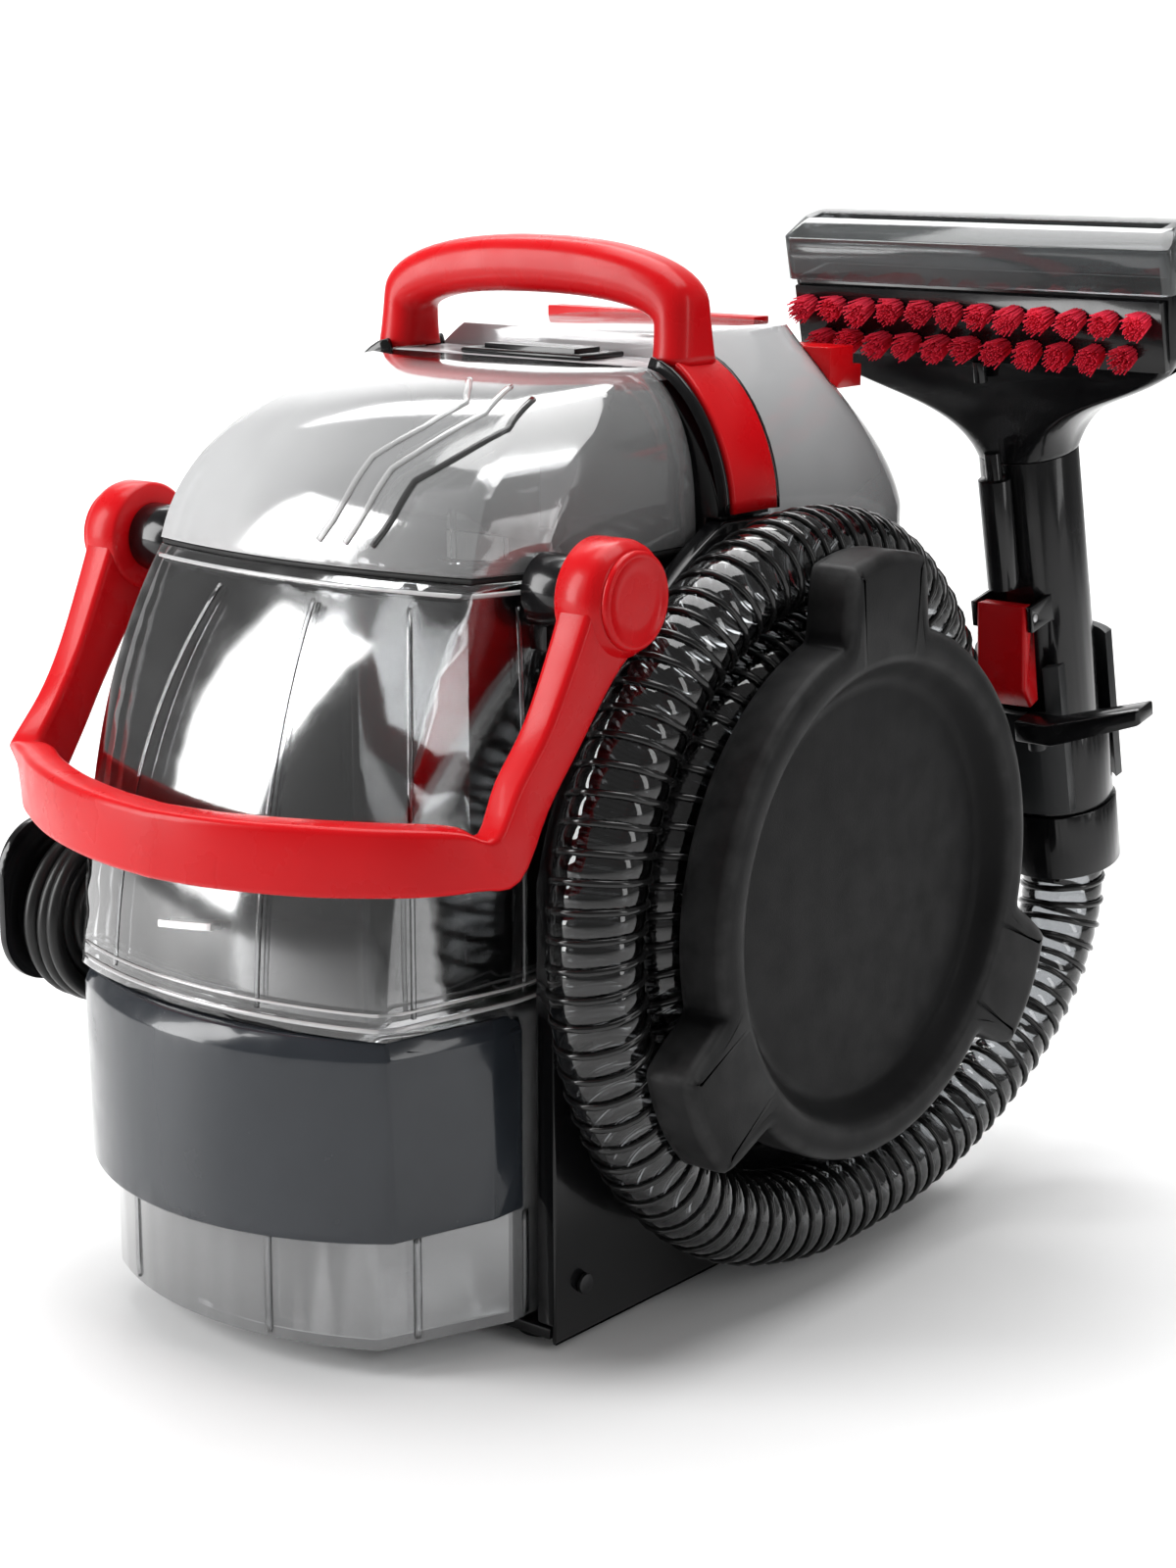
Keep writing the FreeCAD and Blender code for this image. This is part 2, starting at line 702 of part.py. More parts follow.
def float_centre():
    return 0, -v.tank_rear - v.tank_wall - 16.5


def float_ball():
    low = v.seam_height - 7.6
    centre = float_centre()
    return fuse(rod("z", centre, 11, low, low + 14), cone("z", centre, 11, 5, low + 14, low + 20))


def bail_arm(side):
    """One arm of the carrying bail: a pivot boss and a strap down to the cross-bar."""
    outer, inner = v.bail_outer, v.bail_inner
    low, high = (inner, outer) if side > 0 else (-outer, -inner)
    pivot_y, pivot_z = -v.pivot_forward, v.pivot_height
    boss = rod("x", (pivot_y, pivot_z), v.cap_radius, low, high)
    strap = prism("YZ_Plane", [
        (pivot_y + 4, pivot_z - v.cap_radius + 2), (pivot_y - v.cap_radius + 1, pivot_z + 6),
        (-v.bail_corner - 13, v.bail_bottom + v.bail_height - 1), (-v.bail_corner - 6, v.bail_bottom),
        (-v.bail_corner + 14, v.bail_bottom + 2),
    ], low, high)
    bore_low, bore_high = (inner - 1, outer - 5) if side > 0 else (-outer + 5, -inner + 1)
    bore = rod("x", (pivot_y, pivot_z), v.trunnion_radius - 4 + v.hinge_gap, bore_low, bore_high)
    return cut(fuse(boss, strap), bore)


def bail_handle():
    """Two arms and the bowed cross-bar in front of the tank, one moulding."""
    outer = v.bail_outer
    depth = v.bail_depth
    bow = v.bail_reach - v.bail_corner
    back = -v.bail_corner
    inner = v.bail_inner
    outline = [(-outer, back, bow), (outer, back), (inner, back, -(bow - depth)), (-inner, back)]
    bar = prism("XY_Plane", outline, v.bail_bottom, v.bail_bottom + v.bail_height)
    return fuse(bail_arm(1), bail_arm(-1), bar)


def bail_caps():
    caps = []
    centre = (-v.pivot_forward, v.pivot_height)
    for side in (1, -1):
        near = v.bail_outer + v.shaft_gap
        low, high = (near, near + 2.5) if side > 0 else (-near - 2.5, -near)
        caps.append(rod("x", centre, v.cap_radius - 3, low, high))
    return fuse(*caps)


# ---- Clean tank ----

def clean_levels(inset=0.0):
    """Heights of the clean tank: z, half width, corner radius, rear, front."""
    half = v.clean_half.value
    rear = v.clean_rear.value
    front = v.spine_half.value + v.slide_gap.value
    shoulder = v.clean_shoulder.value
    top = v.clean_top.value
    rise = top - shoulder
    narrow = half - v.clean_top_half.value
    edge = 30
    return [
        (v.clean_floor.value + inset, half, edge, rear, front),
        (shoulder, half, edge, rear, front),
        (shoulder + rise * 0.35, half - narrow * 0.2, edge - 2, rear - 6, front),
        (shoulder + rise * 0.7, half - narrow * 0.5, edge - 6, v.clean_top_rear.value + 2.5, front),
        (top - inset, v.clean_top_half.value, edge - 12, v.clean_top_rear.value, front),
    ]


def clean_solid(inset=0.0):
    wires = [clean_wire(*level, inset) for level in clean_levels(max(inset, 0))]
    return Part.makeLoft(wires[:2], True, True).fuse(Part.makeLoft(wires[1:], True, False))


def clean_wire(z, half, edge, rear, front, inset):
    half, rear, front = half - inset, rear - inset, front + inset
    edge = max(edge - inset, 1)
    corner = edge * (1 - math.sqrt(0.5))
    right = Part.Arc(Vector(half, rear - edge, z), Vector(half - corner, rear - corner, z),
                     Vector(half - edge, rear, z)).toShape()
    left = Part.Arc(Vector(-half + edge, rear, z), Vector(-half + corner, rear - corner, z),
                    Vector(-half, rear - edge, z)).toShape()
    return Part.Wire([
        Part.makeLine(Vector(-half, front, z), Vector(half, front, z)),
        Part.makeLine(Vector(half, front, z), Vector(half, rear - edge, z)), right,
        Part.makeLine(Vector(half - edge, rear, z), Vector(-half + edge, rear, z)), left,
        Part.makeLine(Vector(-half, rear - edge, z), Vector(-half, front, z)),
    ])


def clean_tank_shell():
    port = Part.makeCylinder(12 + v.fit_gap.value, 20, Vector(v.pump_x.value, 70, v.clean_floor.value - 10))
    return feature(clean_solid().cut(clean_solid(v.clean_wall.value)).cut(port))


def clean_tank_grip():
    """The red grip along the rear edge of the clean tank's top, with a round eye at its right end."""
    rear = v.clean_top_rear + 1
    top = v.clean_top
    under = top - 14
    bar = block((-74, 26), (rear, rear + 9), (top - 20, top + 1))
    end = block((45, 70), (rear - 14, rear + 0.6), (top - 22, top - 7))
    link = block((14, 70), (rear - 2, rear + 6), (top - 22, under))
    eye = rod("y", (57, top - 14), 4, rear - 16, rear + 8)
    return cut(fuse(bar, end, link), eye, feature(clean_solid(-0.3)))


def clean_tank_cap():
    """The fill cap under the clean tank, with the outlet bore through it."""
    floor = v.clean_floor
    flange = rod("z", (v.pump_x, 70), 12, floor - 2, floor + 8)
    return cut(flange, rod("z", (v.pump_x, 70), 5, floor - 3, floor + 9))


def valve_poppet():
    floor = v.clean_floor
    centre = (v.pump_x, 70)
    stem = rod("z", centre, 3, floor - 2, floor + 12)
    return fuse(stem, rod("z", centre, 7, floor + 9, floor + 12))


# ---- Reel, hose and cord ----

def hose_reel_hub():
    centre = (v.reel_back, v.reel_height)
    low = v.panel_outer + v.fit_gap
    high = v.hose_plane + v.hose_diameter / 2 + v.fit_gap
    drum = rod("x", centre, v.hub_radius, low, high)
    return cut(drum, rod("x", centre, v.hub_radius - v.hub_wall, low + v.hub_wall, high + 1))


def hose_reel_disc():
    """The dished cover that keeps the hose on its reel, with three lobes that stand over the outer turn."""
    low = v.hose_plane + v.hose_diameter / 2 + v.fit_gap * 1.5
    turn = math.radians(v.lobe_root_half.value)

    def polar(radius, degrees):
        angle = math.radians(degrees)
        return v.reel_back + radius * math.cos(angle), v.reel_height + radius * math.sin(angle)

    outline = []
    between = v.disc_radius * (1 - math.cos(math.radians(60) - turn))
    tip_rise = v.lobe_radius * (1 - math.cos(math.radians(v.lobe_tip_half.value)))
    for lobe in (90, 210, 330):
        outline.append(polar(v.disc_radius, lobe - v.lobe_root_half.value))
        outline.append(polar(v.lobe_radius, lobe - v.lobe_tip_half.value) + (tip_rise,))
        outline.append(polar(v.lobe_radius, lobe + v.lobe_tip_half.value))
        outline.append(polar(v.disc_radius, lobe + v.lobe_root_half.value) + (between,))
    body = prism("YZ_Plane", outline, low, v.disc_face)
    sketch = sketch_on(body, "YZ_Plane", v.disc_face)
    draw_circle(sketch, v.reel_back, v.reel_height, v.dish_radius)
    dish = body.newObject("PartDesign::Pocket", "Dish")
    dish.Profile = sketch
    bind(dish, "Length", v.dish_depth)
    doc.recompute()
    return body


def route(points):
    """A wire of straight runs joined by tangent arcs, as large as each pair of runs allows."""
    corners = []
    for before, corner, after in zip(points, points[1:], points[2:]):
        back, ahead = before - corner, after - corner
        turn = math.pi - back.getAngle(ahead)
        reach = 0.45 * min(back.Length, ahead.Length)
        radius = reach / math.tan(turn / 2)
        back.normalize()
        ahead.normalize()
        inward = (back + ahead).normalize()
        middle = corner + inward * (math.hypot(radius, reach) - radius)
        corners.append((corner + back * reach, middle, corner + ahead * reach, radius))
    edges = []
    start = points[0]
    for enter, middle, leave, _ in corners:
        edges.append(Part.LineSegment(start, enter).toShape())
        edges.append(Part.Arc(enter, middle, leave).toShape())
        start = leave
    edges.append(Part.LineSegment(start, points[-1]).toShape())
    return Part.Wire(edges), [radius for *_, radius in corners]


def sweep(label, points, diameter):
    """A round cord along a route; prints its arc radii and compares its volume with its length."""
    path, radii = route(points)
    ahead = points[1] - points[0]
    circle = Part.Wire(Part.makeCircle(diameter / 2, points[0], ahead))
    solid = path.makePipeShell([circle], True, False)
    expected = math.pi * diameter ** 2 / 4 * path.Length
    print(label, "length", round(path.Length, 1), "radii", [round(r) for r in radii],
          "volume ratio", round(solid.Volume / expected, 4))
    return solid


def hose_points():
    """From the cuff down and forward under the reel, once round it and once more inside."""
    plane = v.hose_plane.value
    back, height = v.reel_back.value, v.reel_height.value
    foot = (v.tool_rear.value, v.tool_height.value)
    lead = [foot, (186, 100), (178, 81), (164, 65), (147, 52), (127, 41), (104, 31.5), (79, 25), (52, 21.5),
            (27, 20.6)]
    points = [Vector(plane, y, z) for y, z in lead]
    outer, inner = v.outer_turn.value, v.inner_turn.value
    keys = [(90, v.bottom_turn.value), (140, outer + 2), (180, outer), (290, outer), (320, outer - 10),
            (360, outer - 24), (400, inner), (630, inner)]
    for degrees in range(90, 631, 20):
        angle = math.radians(degrees)
        radius = between_keys(keys, degrees)
        points.append(Vector(plane, back + radius * math.cos(angle), height - radius * math.sin(angle)))
    return points


def between_keys(keys, place):
    for (low, first), (high, second) in zip(keys, keys[1:]):
        if low <= place <= high:
            return first + (second - first) * (place - low) / (high - low)
    return keys[-1][1]


def suction_hose():
    return feature(sweep("suction_hose", hose_points(), v.hose_diameter.value))


def hose_port():
    """The socket on the side wall that the hose's inner end plugs into, behind the reel's disc."""
    low = v.panel_outer + v.fit_gap
    middle = v.reel_height + v.inner_turn
    high = v.hose_plane + v.hose_diameter / 2
    return block((low, high), (v.reel_back, v.reel_back + 19), (middle - 17, middle + 12))


def stadium(front, rear, radius, height):
    return [(-front, height - radius), (-rear, height - radius, radius), (-rear, height + radius),
            (-front, height + radius, radius)]


def oval(radius, low, high):
    return prism("YZ_Plane", stadium(v.wrap_front, v.wrap_rear, radius, v.wrap_height), low, high)


def cord_wrap_drum():
    high = -v.panel_outer - v.fit_gap
    return oval(v.wrap_core, high - v.wrap_width, high)


def cord_wrap_flange():
    high = -v.panel_outer - v.fit_gap * 2 - v.wrap_width
    reach = v.wrap_core + v.coil_depth + 3
    outline = rectangle(-v.wrap_front - reach, -v.wrap_rear + reach, v.flange_low, v.flange_high)
    body = prism("YZ_Plane", outline, high - v.flange_thickness, high, v.flange_corner)
    outer = high - v.flange_thickness
    round_edges(body, body.Tip, rim_edges(body.Shape, "x", outer.value), size(1.5))
    return body


def power_cord_coil():
    high = -v.panel_outer - v.fit_gap - 1
    low = high - v.wrap_width + 2
    ring = oval(v.wrap_core + v.coil_depth, low, high)
    core = stadium(v.wrap_front, v.wrap_rear, v.wrap_core + v.fit_gap, v.wrap_height)
    return pocket(ring, "YZ_Plane", core, low - 1, high + 1)


def cord_inlet():
    low = -v.lead_plane - 9
    return block((low, -v.panel_outer - v.fit_gap), (72, 88), (89, 107))


def cord_strain_relief():
    return cone("y", (-v.lead_plane, 98), v.cord_diameter / 2 + 1, v.cord_diameter / 2 + 3, 46, 72)


def cord_runs():
    """The two free stretches: from the strain relief into the winding, and out of it to the plug."""
    routes = [
        ("lead", ((46, 98), (32, 97.5), (18, 95.5), (5, 92))),
        ("tail", ((-2, 152), (10, 150.5), (22, 146.5), (34, 141.5), (46, 138), (58, 137))),
    ]
    solids = []
    for name, places in routes:
        points = [Vector(-v.lead_plane.value, y, z) for y, z in places]
        solids.append(sweep(name, points, v.cord_diameter.value))
    return feature(Part.makeCompound(solids))


def power_plug():
    middle = (-v.lead_plane, 137)
    grip = cone("y", middle, 5, 9.5, 58, 74)
    face = rod("y", middle, 9.5, 74, 92)
    pins = [rod("y", (-v.lead_plane + x, 137), 2, 92, 110) for x in (-5, 5)]
    return fuse(grip, face, *pins)


def plug_clip():
    """Two springy fingers on the side panel that hold the plug."""
    face = -v.panel_outer - v.fit_gap
    back = -v.lead_plane + 10.2
    base = block((back, face), (78, 90), (125, 145))
    finger_low = block((back - 14, face), (78, 90), (123.8, 126.8))
    return fuse(base, finger_low)


# ---- Spot tool and its holder ----

def tool_place():
    return Placement(Vector(v.hose_plane.value, v.tool_rear.value, v.tool_height.value),
                     Rotation(Vector(1, 0, 0), v.lean.value))


def on_tool(piece):
    """Moves a piece drawn along its own Z axis onto the leaning wand."""
    if piece.TypeId in ("Part::Box", "Part::Cylinder"):
        group = doc.addObject("Part::Compound", "Group")
        group.Links = [piece]
        piece = group
    piece.Placement = tool_place()
    return piece


def hose_cuff():
    inner = v.hose_diameter / 2 - v.cuff_bite
    return tube("z", (0, 0), v.cuff_radius, inner, 0, v.cuff_length)


def swivel_collar():
    inner = v.wand_radius - v.wand_wall - 2
    return tube("z", (0, 0), v.collar_radius, inner, v.cuff_length + v.fit_gap, v.collar_top)


def tool_wand():
    """The hollow wand, with the ears that carry the trigger and a slot for the head's latch."""
    radius = v.wand_radius
    low, high = v.collar_top + v.fit_gap, v.wand_top - v.fit_gap
    ear_front = -radius - 10
    pivot = trigger_pivot()
    half = v.trigger_half + v.hinge_gap
    ears = []
    for near, far in ((half, half + 2), (-half - 2, -half)):
        ears.append(block((near, far), (ear_front, -radius + 6), (pivot[1] - 5, pivot[1] + 5)))
    shaft = rod("z", (0, 0), radius, low, high)
    bore = rod("z", (0, 0), radius - v.wand_wall - 2, low - 1, high + 1)
    slot = block((-7.5, 7.5), (0, radius + 2), (149.5, 162.5))
    pin_bore = rod("x", pivot, 1.5 + v.shaft_gap, -half - 3, half + 3)
    return cut(fuse(shaft, *ears), bore, slot, pin_bore)


def trigger_pivot():
    return -v.wand_radius - 7, v.trigger_high - 5


def spray_trigger():
    back = -v.wand_radius - 5
    low, high = v.trigger_low, v.trigger_high
    half = v.trigger_half
    face = [(back + 1, high - 1), (back - 5, high), (back - 10.5, low + 9)]
    outline = face + [(back - 6, low), (back - 0.5, low + 1)]
    body = prism("YZ_Plane", outline, -half, half)
    names = rim_edges(body.Shape, "x", -half.value) + rim_edges(body.Shape, "x", half.value)
    round_edges(body, body.Tip, names, size(1.5))
    bore = rod("x", trigger_pivot(), 1.5 + v.shaft_gap, -half - 1, half + 1)
    return cut(body, bore)


def trigger_pin():
    half = v.trigger_half + v.hinge_gap + 2
    return rod("x", trigger_pivot(), 1.5, -half, half)


def spray_tube():
    front = -v.wand_radius - 6 - v.fit_gap
    low = v.trigger_high + 6
    spigot = rod("z", (0, front), 3, v.wand_top - 5, v.wand_top + 6)
    return fuse(rod("z", (0, front), 6, low, v.wand_top - 4), spigot)


def head_latch():
    radius = v.wand_radius
    return block((-7, 7), (radius - 2.5, radius + 4), (150, 162))


def rounded_wire(z, half, front, rear, corner):
    """A rectangle with round corners at one height: eight edges."""
    left, right = -half, half
    cut_in = corner * (1 - math.sqrt(0.5))
    spots = [
        (Vector(right, front + corner, z), Vector(right, rear - corner, z)),
        (Vector(right - corner, rear, z), Vector(left + corner, rear, z)),
        (Vector(left, rear - corner, z), Vector(left, front + corner, z)),
        (Vector(left + corner, front, z), Vector(right - corner, front, z)),
    ]
    bends = [Vector(right - cut_in, rear - cut_in, z), Vector(left + cut_in, rear - cut_in, z),
             Vector(left + cut_in, front + cut_in, z), Vector(right - cut_in, front + cut_in, z)]
    edges = []
    for (start, stop), bend, (after, _) in zip(spots, bends, spots[1:] + spots[:1]):
        edges.append(Part.makeLine(start, stop))
        edges.append(Part.Arc(stop, bend, after).toShape())
    return Part.Wire(edges)


def nozzle_body():
    """The flared neck and the brush-backing head, hollow from the wand's bore to its top."""
    radius = v.wand_radius.value
    half = v.head_half.value
    neck, floor = v.wand_top.value, v.window_floor.value - v.fit_gap.value
    top = v.neck_top.value
    back = v.head_depth.value - v.head_front.value
    flare = [
        (neck, radius, -radius, radius, radius - 1), (neck + 14, radius * 1.5, -radius, radius - 3, 12),
        (neck + 26, half * 0.6, -22, 8, 8), (top, half * 0.9, -24, 0, 5),
    ]
    head = [(top, half * 0.9, -24, 0, 5), (top + 8, half - 2, -26, back + 2, 4), (floor, half, -26, back, 4)]
    solid = Part.makeLoft([rounded_wire(*level) for level in flare], True, False)
    solid = solid.fuse(Part.makeLoft([rounded_wire(*level) for level in head], True, True))
    bore = Part.makeCylinder(radius - 4.5, top - neck + 8, Vector(0, 0, neck - 1))
    slot = Part.makeBox(2 * half - 12, 14, floor - top + 2, Vector(-half + 6, -20, top))
    return feature(solid.cut(bore).cut(slot), tool_place())


def nozzle_window():
    """The clear hood over the head's suction channel, with the mouth along its front top edge."""
    half, front = v.head_half.value, v.head_front.value
    back = v.head_depth.value - front
    low, top = v.window_floor.value, v.window_top.value
    levels = [(low, half, -front, back, 4), (top - 5, half, -front, back, 4),
              (top, half - 3, -front + 10, back - 2, 4)]
    outer = Part.makeLoft([rounded_wire(*level) for level in levels], True, True)
    corner = Vector(-half + 2.5, -front + 2.5, low - 1)
    inner = Part.makeBox(2 * half - 5, front + back - 5, top - low - 4, corner)
    mouth = Part.makeBox(2 * half - 16, 7, 12, Vector(-half + 8, -front + 10.5, top - 8))
    return feature(outer.cut(inner).cut(mouth), tool_place())


def brush_block():
    half = v.head_half - 4
    return block((-half, half), (-30, -26 - v.fit_gap), (v.neck_top + 4, v.window_floor - 2))


def brush_bristles():
    pitch = (2 * v.head_half - 22) / (v.tuft_count - 1)
    rows = []
    count = int(v.tuft_count.value)
    middle = (v.neck_top + v.window_floor) / 2 + 1
    for row, places in ((middle + 6.2, count), (middle - 6.2, count - 1)):
        for i in range(places):
            x = pitch * (i - (places - 1) / 2)
            rows.append(rod("y", (x, row), v.tuft_radius, -30 - v.tuft_length, -30))
    return fuse(*rows)


def spray_jet():
    return rod("z", (0, -28), 2.5, v.neck_top - 4, v.neck_top + 3.6)


def holder_cradle():
    """A springy sleeve round the wand's lower end, open to the right so that the wand lifts out."""
    inner = v.cuff_radius + v.fit_gap * 2
    outer = inner + 3.4
    low, high = v.cuff_length + 4, v.trigger_low + 14
    ring = tube("z", (0, 0), outer, inner, low, high)
    mouth = block((inner * 0.75, outer + 5), (-outer - 1, outer + 1), (low - 1, high + 1))
    reach = v.trigger_half + 2
    notch = block((-reach, reach), (-outer - 1, -inner + 9), (v.trigger_low - 5, high + 1))
    x, y = latch_pivot()
    lug = block((x - 3, x + 3), (y, -inner + 1), (low + 30, low + 36))
    return cut(fuse(cut(ring, mouth), rod("z", (x, y), 3.4, low + 30, low + 36), lug), notch)


def latch_pivot():
    inner = v.cuff_radius + v.fit_gap * 2
    return inner * 0.5, -inner - 6.6


def holder_latch():
    """The thumb latch across the cradle's open side."""
    low = v.cuff_length + 34 + 6.4
    x, y = latch_pivot()
    paddle = prism("XZ_Plane", [(x - 3.4, low), (x + 12, low), (x + 50, low + 14), (x + 50, low + 20),
                                (x + 10, low + 8), (x - 3.4, low + 8)], y - 10, y + 1.6)
    return paddle


def holder_bracket():
    """The arm behind the clean tank that carries the cradle."""
    rear = v.housing_rear + v.fit_gap
    plate = block((52, 87), (rear, rear + 4), (60, 186))
    side = v.hose_plane - v.cuff_radius - 2.4
    arm = block((80, side), (rear, v.tool_rear - 12), (156, 186))
    return fuse(plate, arm)


PIECES = [
    ("base_tray", base_tray), ("rubber_feet", rubber_feet),
    ("main_housing", main_housing), ("upper_housing", upper_housing), ("carry_handle", carry_handle),
    ("switch_bezel", switch_bezel), ("power_switch", power_switch), ("exhaust_grille", exhaust_grille),
    ("housing_screws", housing_screws), ("motor_housing", motor_housing), ("motor_bearings", motor_bearings),
    ("motor_rotor", motor_rotor), ("suction_impeller", suction_impeller), ("rubber_mounts", rubber_mounts),
    ("spray_pump", spray_pump), ("water_tube", water_tube), ("tank_shell", tank_shell),
    ("tank_seal", tank_seal), ("tank_riser", tank_riser), ("skirt_panel", skirt_panel),
    ("trunnions", trunnions), ("tank_lid", tank_lid), ("lid_baffle", lid_baffle), ("float_cage", float_cage),
    ("float", float_ball), ("bail_handle", bail_handle), ("bail_caps", bail_caps),
    ("clean_tank_shell", clean_tank_shell), ("clean_tank_grip", clean_tank_grip),
    ("clean_tank_cap", clean_tank_cap), ("valve_poppet", valve_poppet), ("hose_reel_hub", hose_reel_hub),
    ("hose_reel_disc", hose_reel_disc), ("suction_hose", suction_hose), ("hose_port", hose_port),
    ("cord_wrap_drum", cord_wrap_drum), ("cord_wrap_flange", cord_wrap_flange),
    ("power_cord_coil", power_cord_coil), ("cord_inlet", cord_inlet),
    ("cord_strain_relief", cord_strain_relief), ("power_cord_runs", cord_runs),
    ("power_plug", power_plug), ("plug_clip", plug_clip),
    ("nozzle_body", nozzle_body), ("nozzle_window", nozzle_window), ("holder_bracket", holder_bracket),
]

TOOL_PIECES = [
    ("hose_cuff", hose_cuff), ("swivel_collar", swivel_collar), ("tool_wand", tool_wand),
    ("spray_trigger", spray_trigger), ("trigger_pin", trigger_pin), ("spray_tube", spray_tube),
    ("head_latch", head_latch), ("brush_block", brush_block), ("brush_bristles", brush_bristles),
    ("spray_jet", spray_jet), ("holder_cradle", holder_cradle), ("holder_latch", holder_latch),
]


def build():
    fill_sheet()
    inner = v.panel_outer - v.panel_thickness
    node(side_panel(inner, v.panel_outer), "right_side_panel")
    node(side_panel(-v.panel_outer, -inner), "left_side_panel")
    for label, make in PIECES:
        node(make(), label)
    for label, make in TOOL_PIECES:
        node(on_tool(make()), label)
    doc.recompute()


def check():
    faults = [f"{thing.Label} in {[user.Label for user in thing.InListRecursive][:3]}: {thing.State}"
              for thing in doc.Objects if "Invalid" in thing.State or "Error" in thing.State]
    faults += [f"{piece.Label} has no valid solid" for piece in NODES
               if piece.Shape.isNull() or not piece.Shape.isValid() or not piece.Shape.Solids]
    if faults:
        raise RuntimeError("\n".join(faults))


def write():
    os.makedirs("parts", exist_ok=True)
    for piece in NODES:
        piece.Shape.exportStep(f"parts/{piece.Label}.step")
    print(len(NODES), "nodes written")


build()
check()
write()
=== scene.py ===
"""Looks of the portable spot extractor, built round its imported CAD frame. Lengths are metres."""
import bmesh
import bpy
import json
import math
import random
from mathutils import Matrix, Vector


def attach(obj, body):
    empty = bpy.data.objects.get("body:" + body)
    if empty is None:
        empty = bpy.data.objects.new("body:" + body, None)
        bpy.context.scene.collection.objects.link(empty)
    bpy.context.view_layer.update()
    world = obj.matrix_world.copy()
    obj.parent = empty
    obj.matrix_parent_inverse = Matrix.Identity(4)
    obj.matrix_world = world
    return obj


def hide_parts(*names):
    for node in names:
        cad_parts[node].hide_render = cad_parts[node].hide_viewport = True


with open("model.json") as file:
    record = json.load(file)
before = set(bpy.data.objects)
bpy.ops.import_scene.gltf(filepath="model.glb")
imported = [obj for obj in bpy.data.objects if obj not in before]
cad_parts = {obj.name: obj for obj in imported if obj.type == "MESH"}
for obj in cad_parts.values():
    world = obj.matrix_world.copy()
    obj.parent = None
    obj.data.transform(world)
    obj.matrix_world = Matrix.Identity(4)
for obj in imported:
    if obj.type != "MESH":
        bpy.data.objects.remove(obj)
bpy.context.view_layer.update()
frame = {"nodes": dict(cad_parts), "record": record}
nodes = frame["nodes"]
dice = random.Random(7)
MM = 0.001


# ---- Materials ----

class Look:
    """A procedural material being put together."""

    def __init__(self, name):
        self.material = bpy.data.materials.new(name)
        self.material.use_nodes = True
        self.tree = self.material.node_tree
        self.shader = self.tree.nodes["Principled BSDF"]
        self.out = self.tree.nodes["Material Output"]

    def add(self, kind, links=None, **settings):
        made = self.tree.nodes.new(kind)
        for key, value in settings.items():
            setattr(made, key, value)
        for socket, source in (links or {}).items():
            self.feed(made, socket, source)
        return made

    def feed(self, made, socket, source):
        if isinstance(source, bpy.types.NodeSocket):
            self.tree.links.new(source, made.inputs[socket])
        else:
            made.inputs[socket].default_value = source

    def noise(self, scale, detail=3.0, stretch=(1, 1, 1)):
        """Noise in the piece's own coordinates; scale is how many cells fit in a metre."""
        place = self.add("ShaderNodeTexCoord")
        mapped = self.add("ShaderNodeMapping", {"Vector": place.outputs["Object"], "Scale": stretch})
        found = self.add("ShaderNodeTexNoise", {"Vector": mapped.outputs["Vector"], "Scale": scale,
                                                "Detail": detail})
        return found.outputs["Fac"]

    def ramp(self, source, low, high, start=0.3, stop=0.7):
        """Numbers or colours spread over a stretch of a source value."""
        made = self.add("ShaderNodeValToRGB", {"Fac": source})
        for stop_at, (place, value) in zip(made.color_ramp.elements, ((start, low), (stop, high))):
            stop_at.position = place
            stop_at.color = (value, value, value, 1) if isinstance(value, float) else (*value, 1)
        return made.outputs["Color"]

    def across(self, axis, start, stop, low=0.0, high=1.0):
        """A number that changes between two places along an axis of the piece's own coordinates."""
        place = self.add("ShaderNodeTexCoord")
        split = self.add("ShaderNodeSeparateXYZ", {0: place.outputs["Object"]})
        links = {"Value": split.outputs[axis], "From Min": start, "From Max": stop,
                 "To Min": low, "To Max": high}
        return self.add("ShaderNodeMapRange", links).outputs[0]

    def times(self, first, second):
        made = self.add("ShaderNodeMath", {0: first, 1: second}, operation="MULTIPLY", use_clamp=True)
        return made.outputs[0]

    def bump(self, source, height, strength=0.5):
        made = self.add("ShaderNodeBump", {"Height": source, "Distance": height, "Strength": strength})
        return made.outputs["Normal"]


def shade(colour, factor):
    return tuple(min(1.0, part * factor) for part in colour)


def moulded(name, colour, roughness, grain=2600, relief=0.02, coat=0.0, sheen_spread=0.08, mottle=0.12,
            specular=0.3):
    """Moulded plastic or rubber: a fine grain, uneven gloss and a slight drift of colour."""
    look = Look(name)
    drift = look.ramp(look.noise(22, 4.0), shade(colour, 1 - mottle), shade(colour, 1 + mottle))
    gloss = look.ramp(look.noise(65, 5.0), roughness - sheen_spread, roughness + sheen_spread)
    look.feed(look.shader, "Base Color", drift)
    look.feed(look.shader, "Roughness", gloss)
    look.feed(look.shader, "Normal", look.bump(look.noise(grain, 2.0), relief * MM))
    look.shader.inputs["Coat Weight"].default_value = coat
    look.shader.inputs["Coat Roughness"].default_value = 0.06
    look.shader.inputs["Specular IOR Level"].default_value = specular
    return look.material


def two_tone(name, low, high, height, roughness):
    """Glossy plastic whose colour changes at a height."""
    look = Look(name)
    drift = look.noise(22, 4.0)
    step = look.across("Z", height, height + 0.5 * MM)
    mixed = look.add("ShaderNodeMix", {"Factor": step}, data_type="RGBA")
    look.feed(mixed, 6, look.ramp(drift, shade(low, 0.85), shade(low, 1.15)))
    look.feed(mixed, 7, look.ramp(drift, shade(high, 0.94), shade(high, 1.06)))
    look.feed(look.shader, "Base Color", mixed.outputs[2])
    look.feed(look.shader, "Roughness", look.ramp(look.noise(65, 5.0), roughness - 0.05, roughness + 0.05))
    look.feed(look.shader, "Normal", look.bump(look.noise(2600, 2.0), 0.01 * MM))
    return look.material


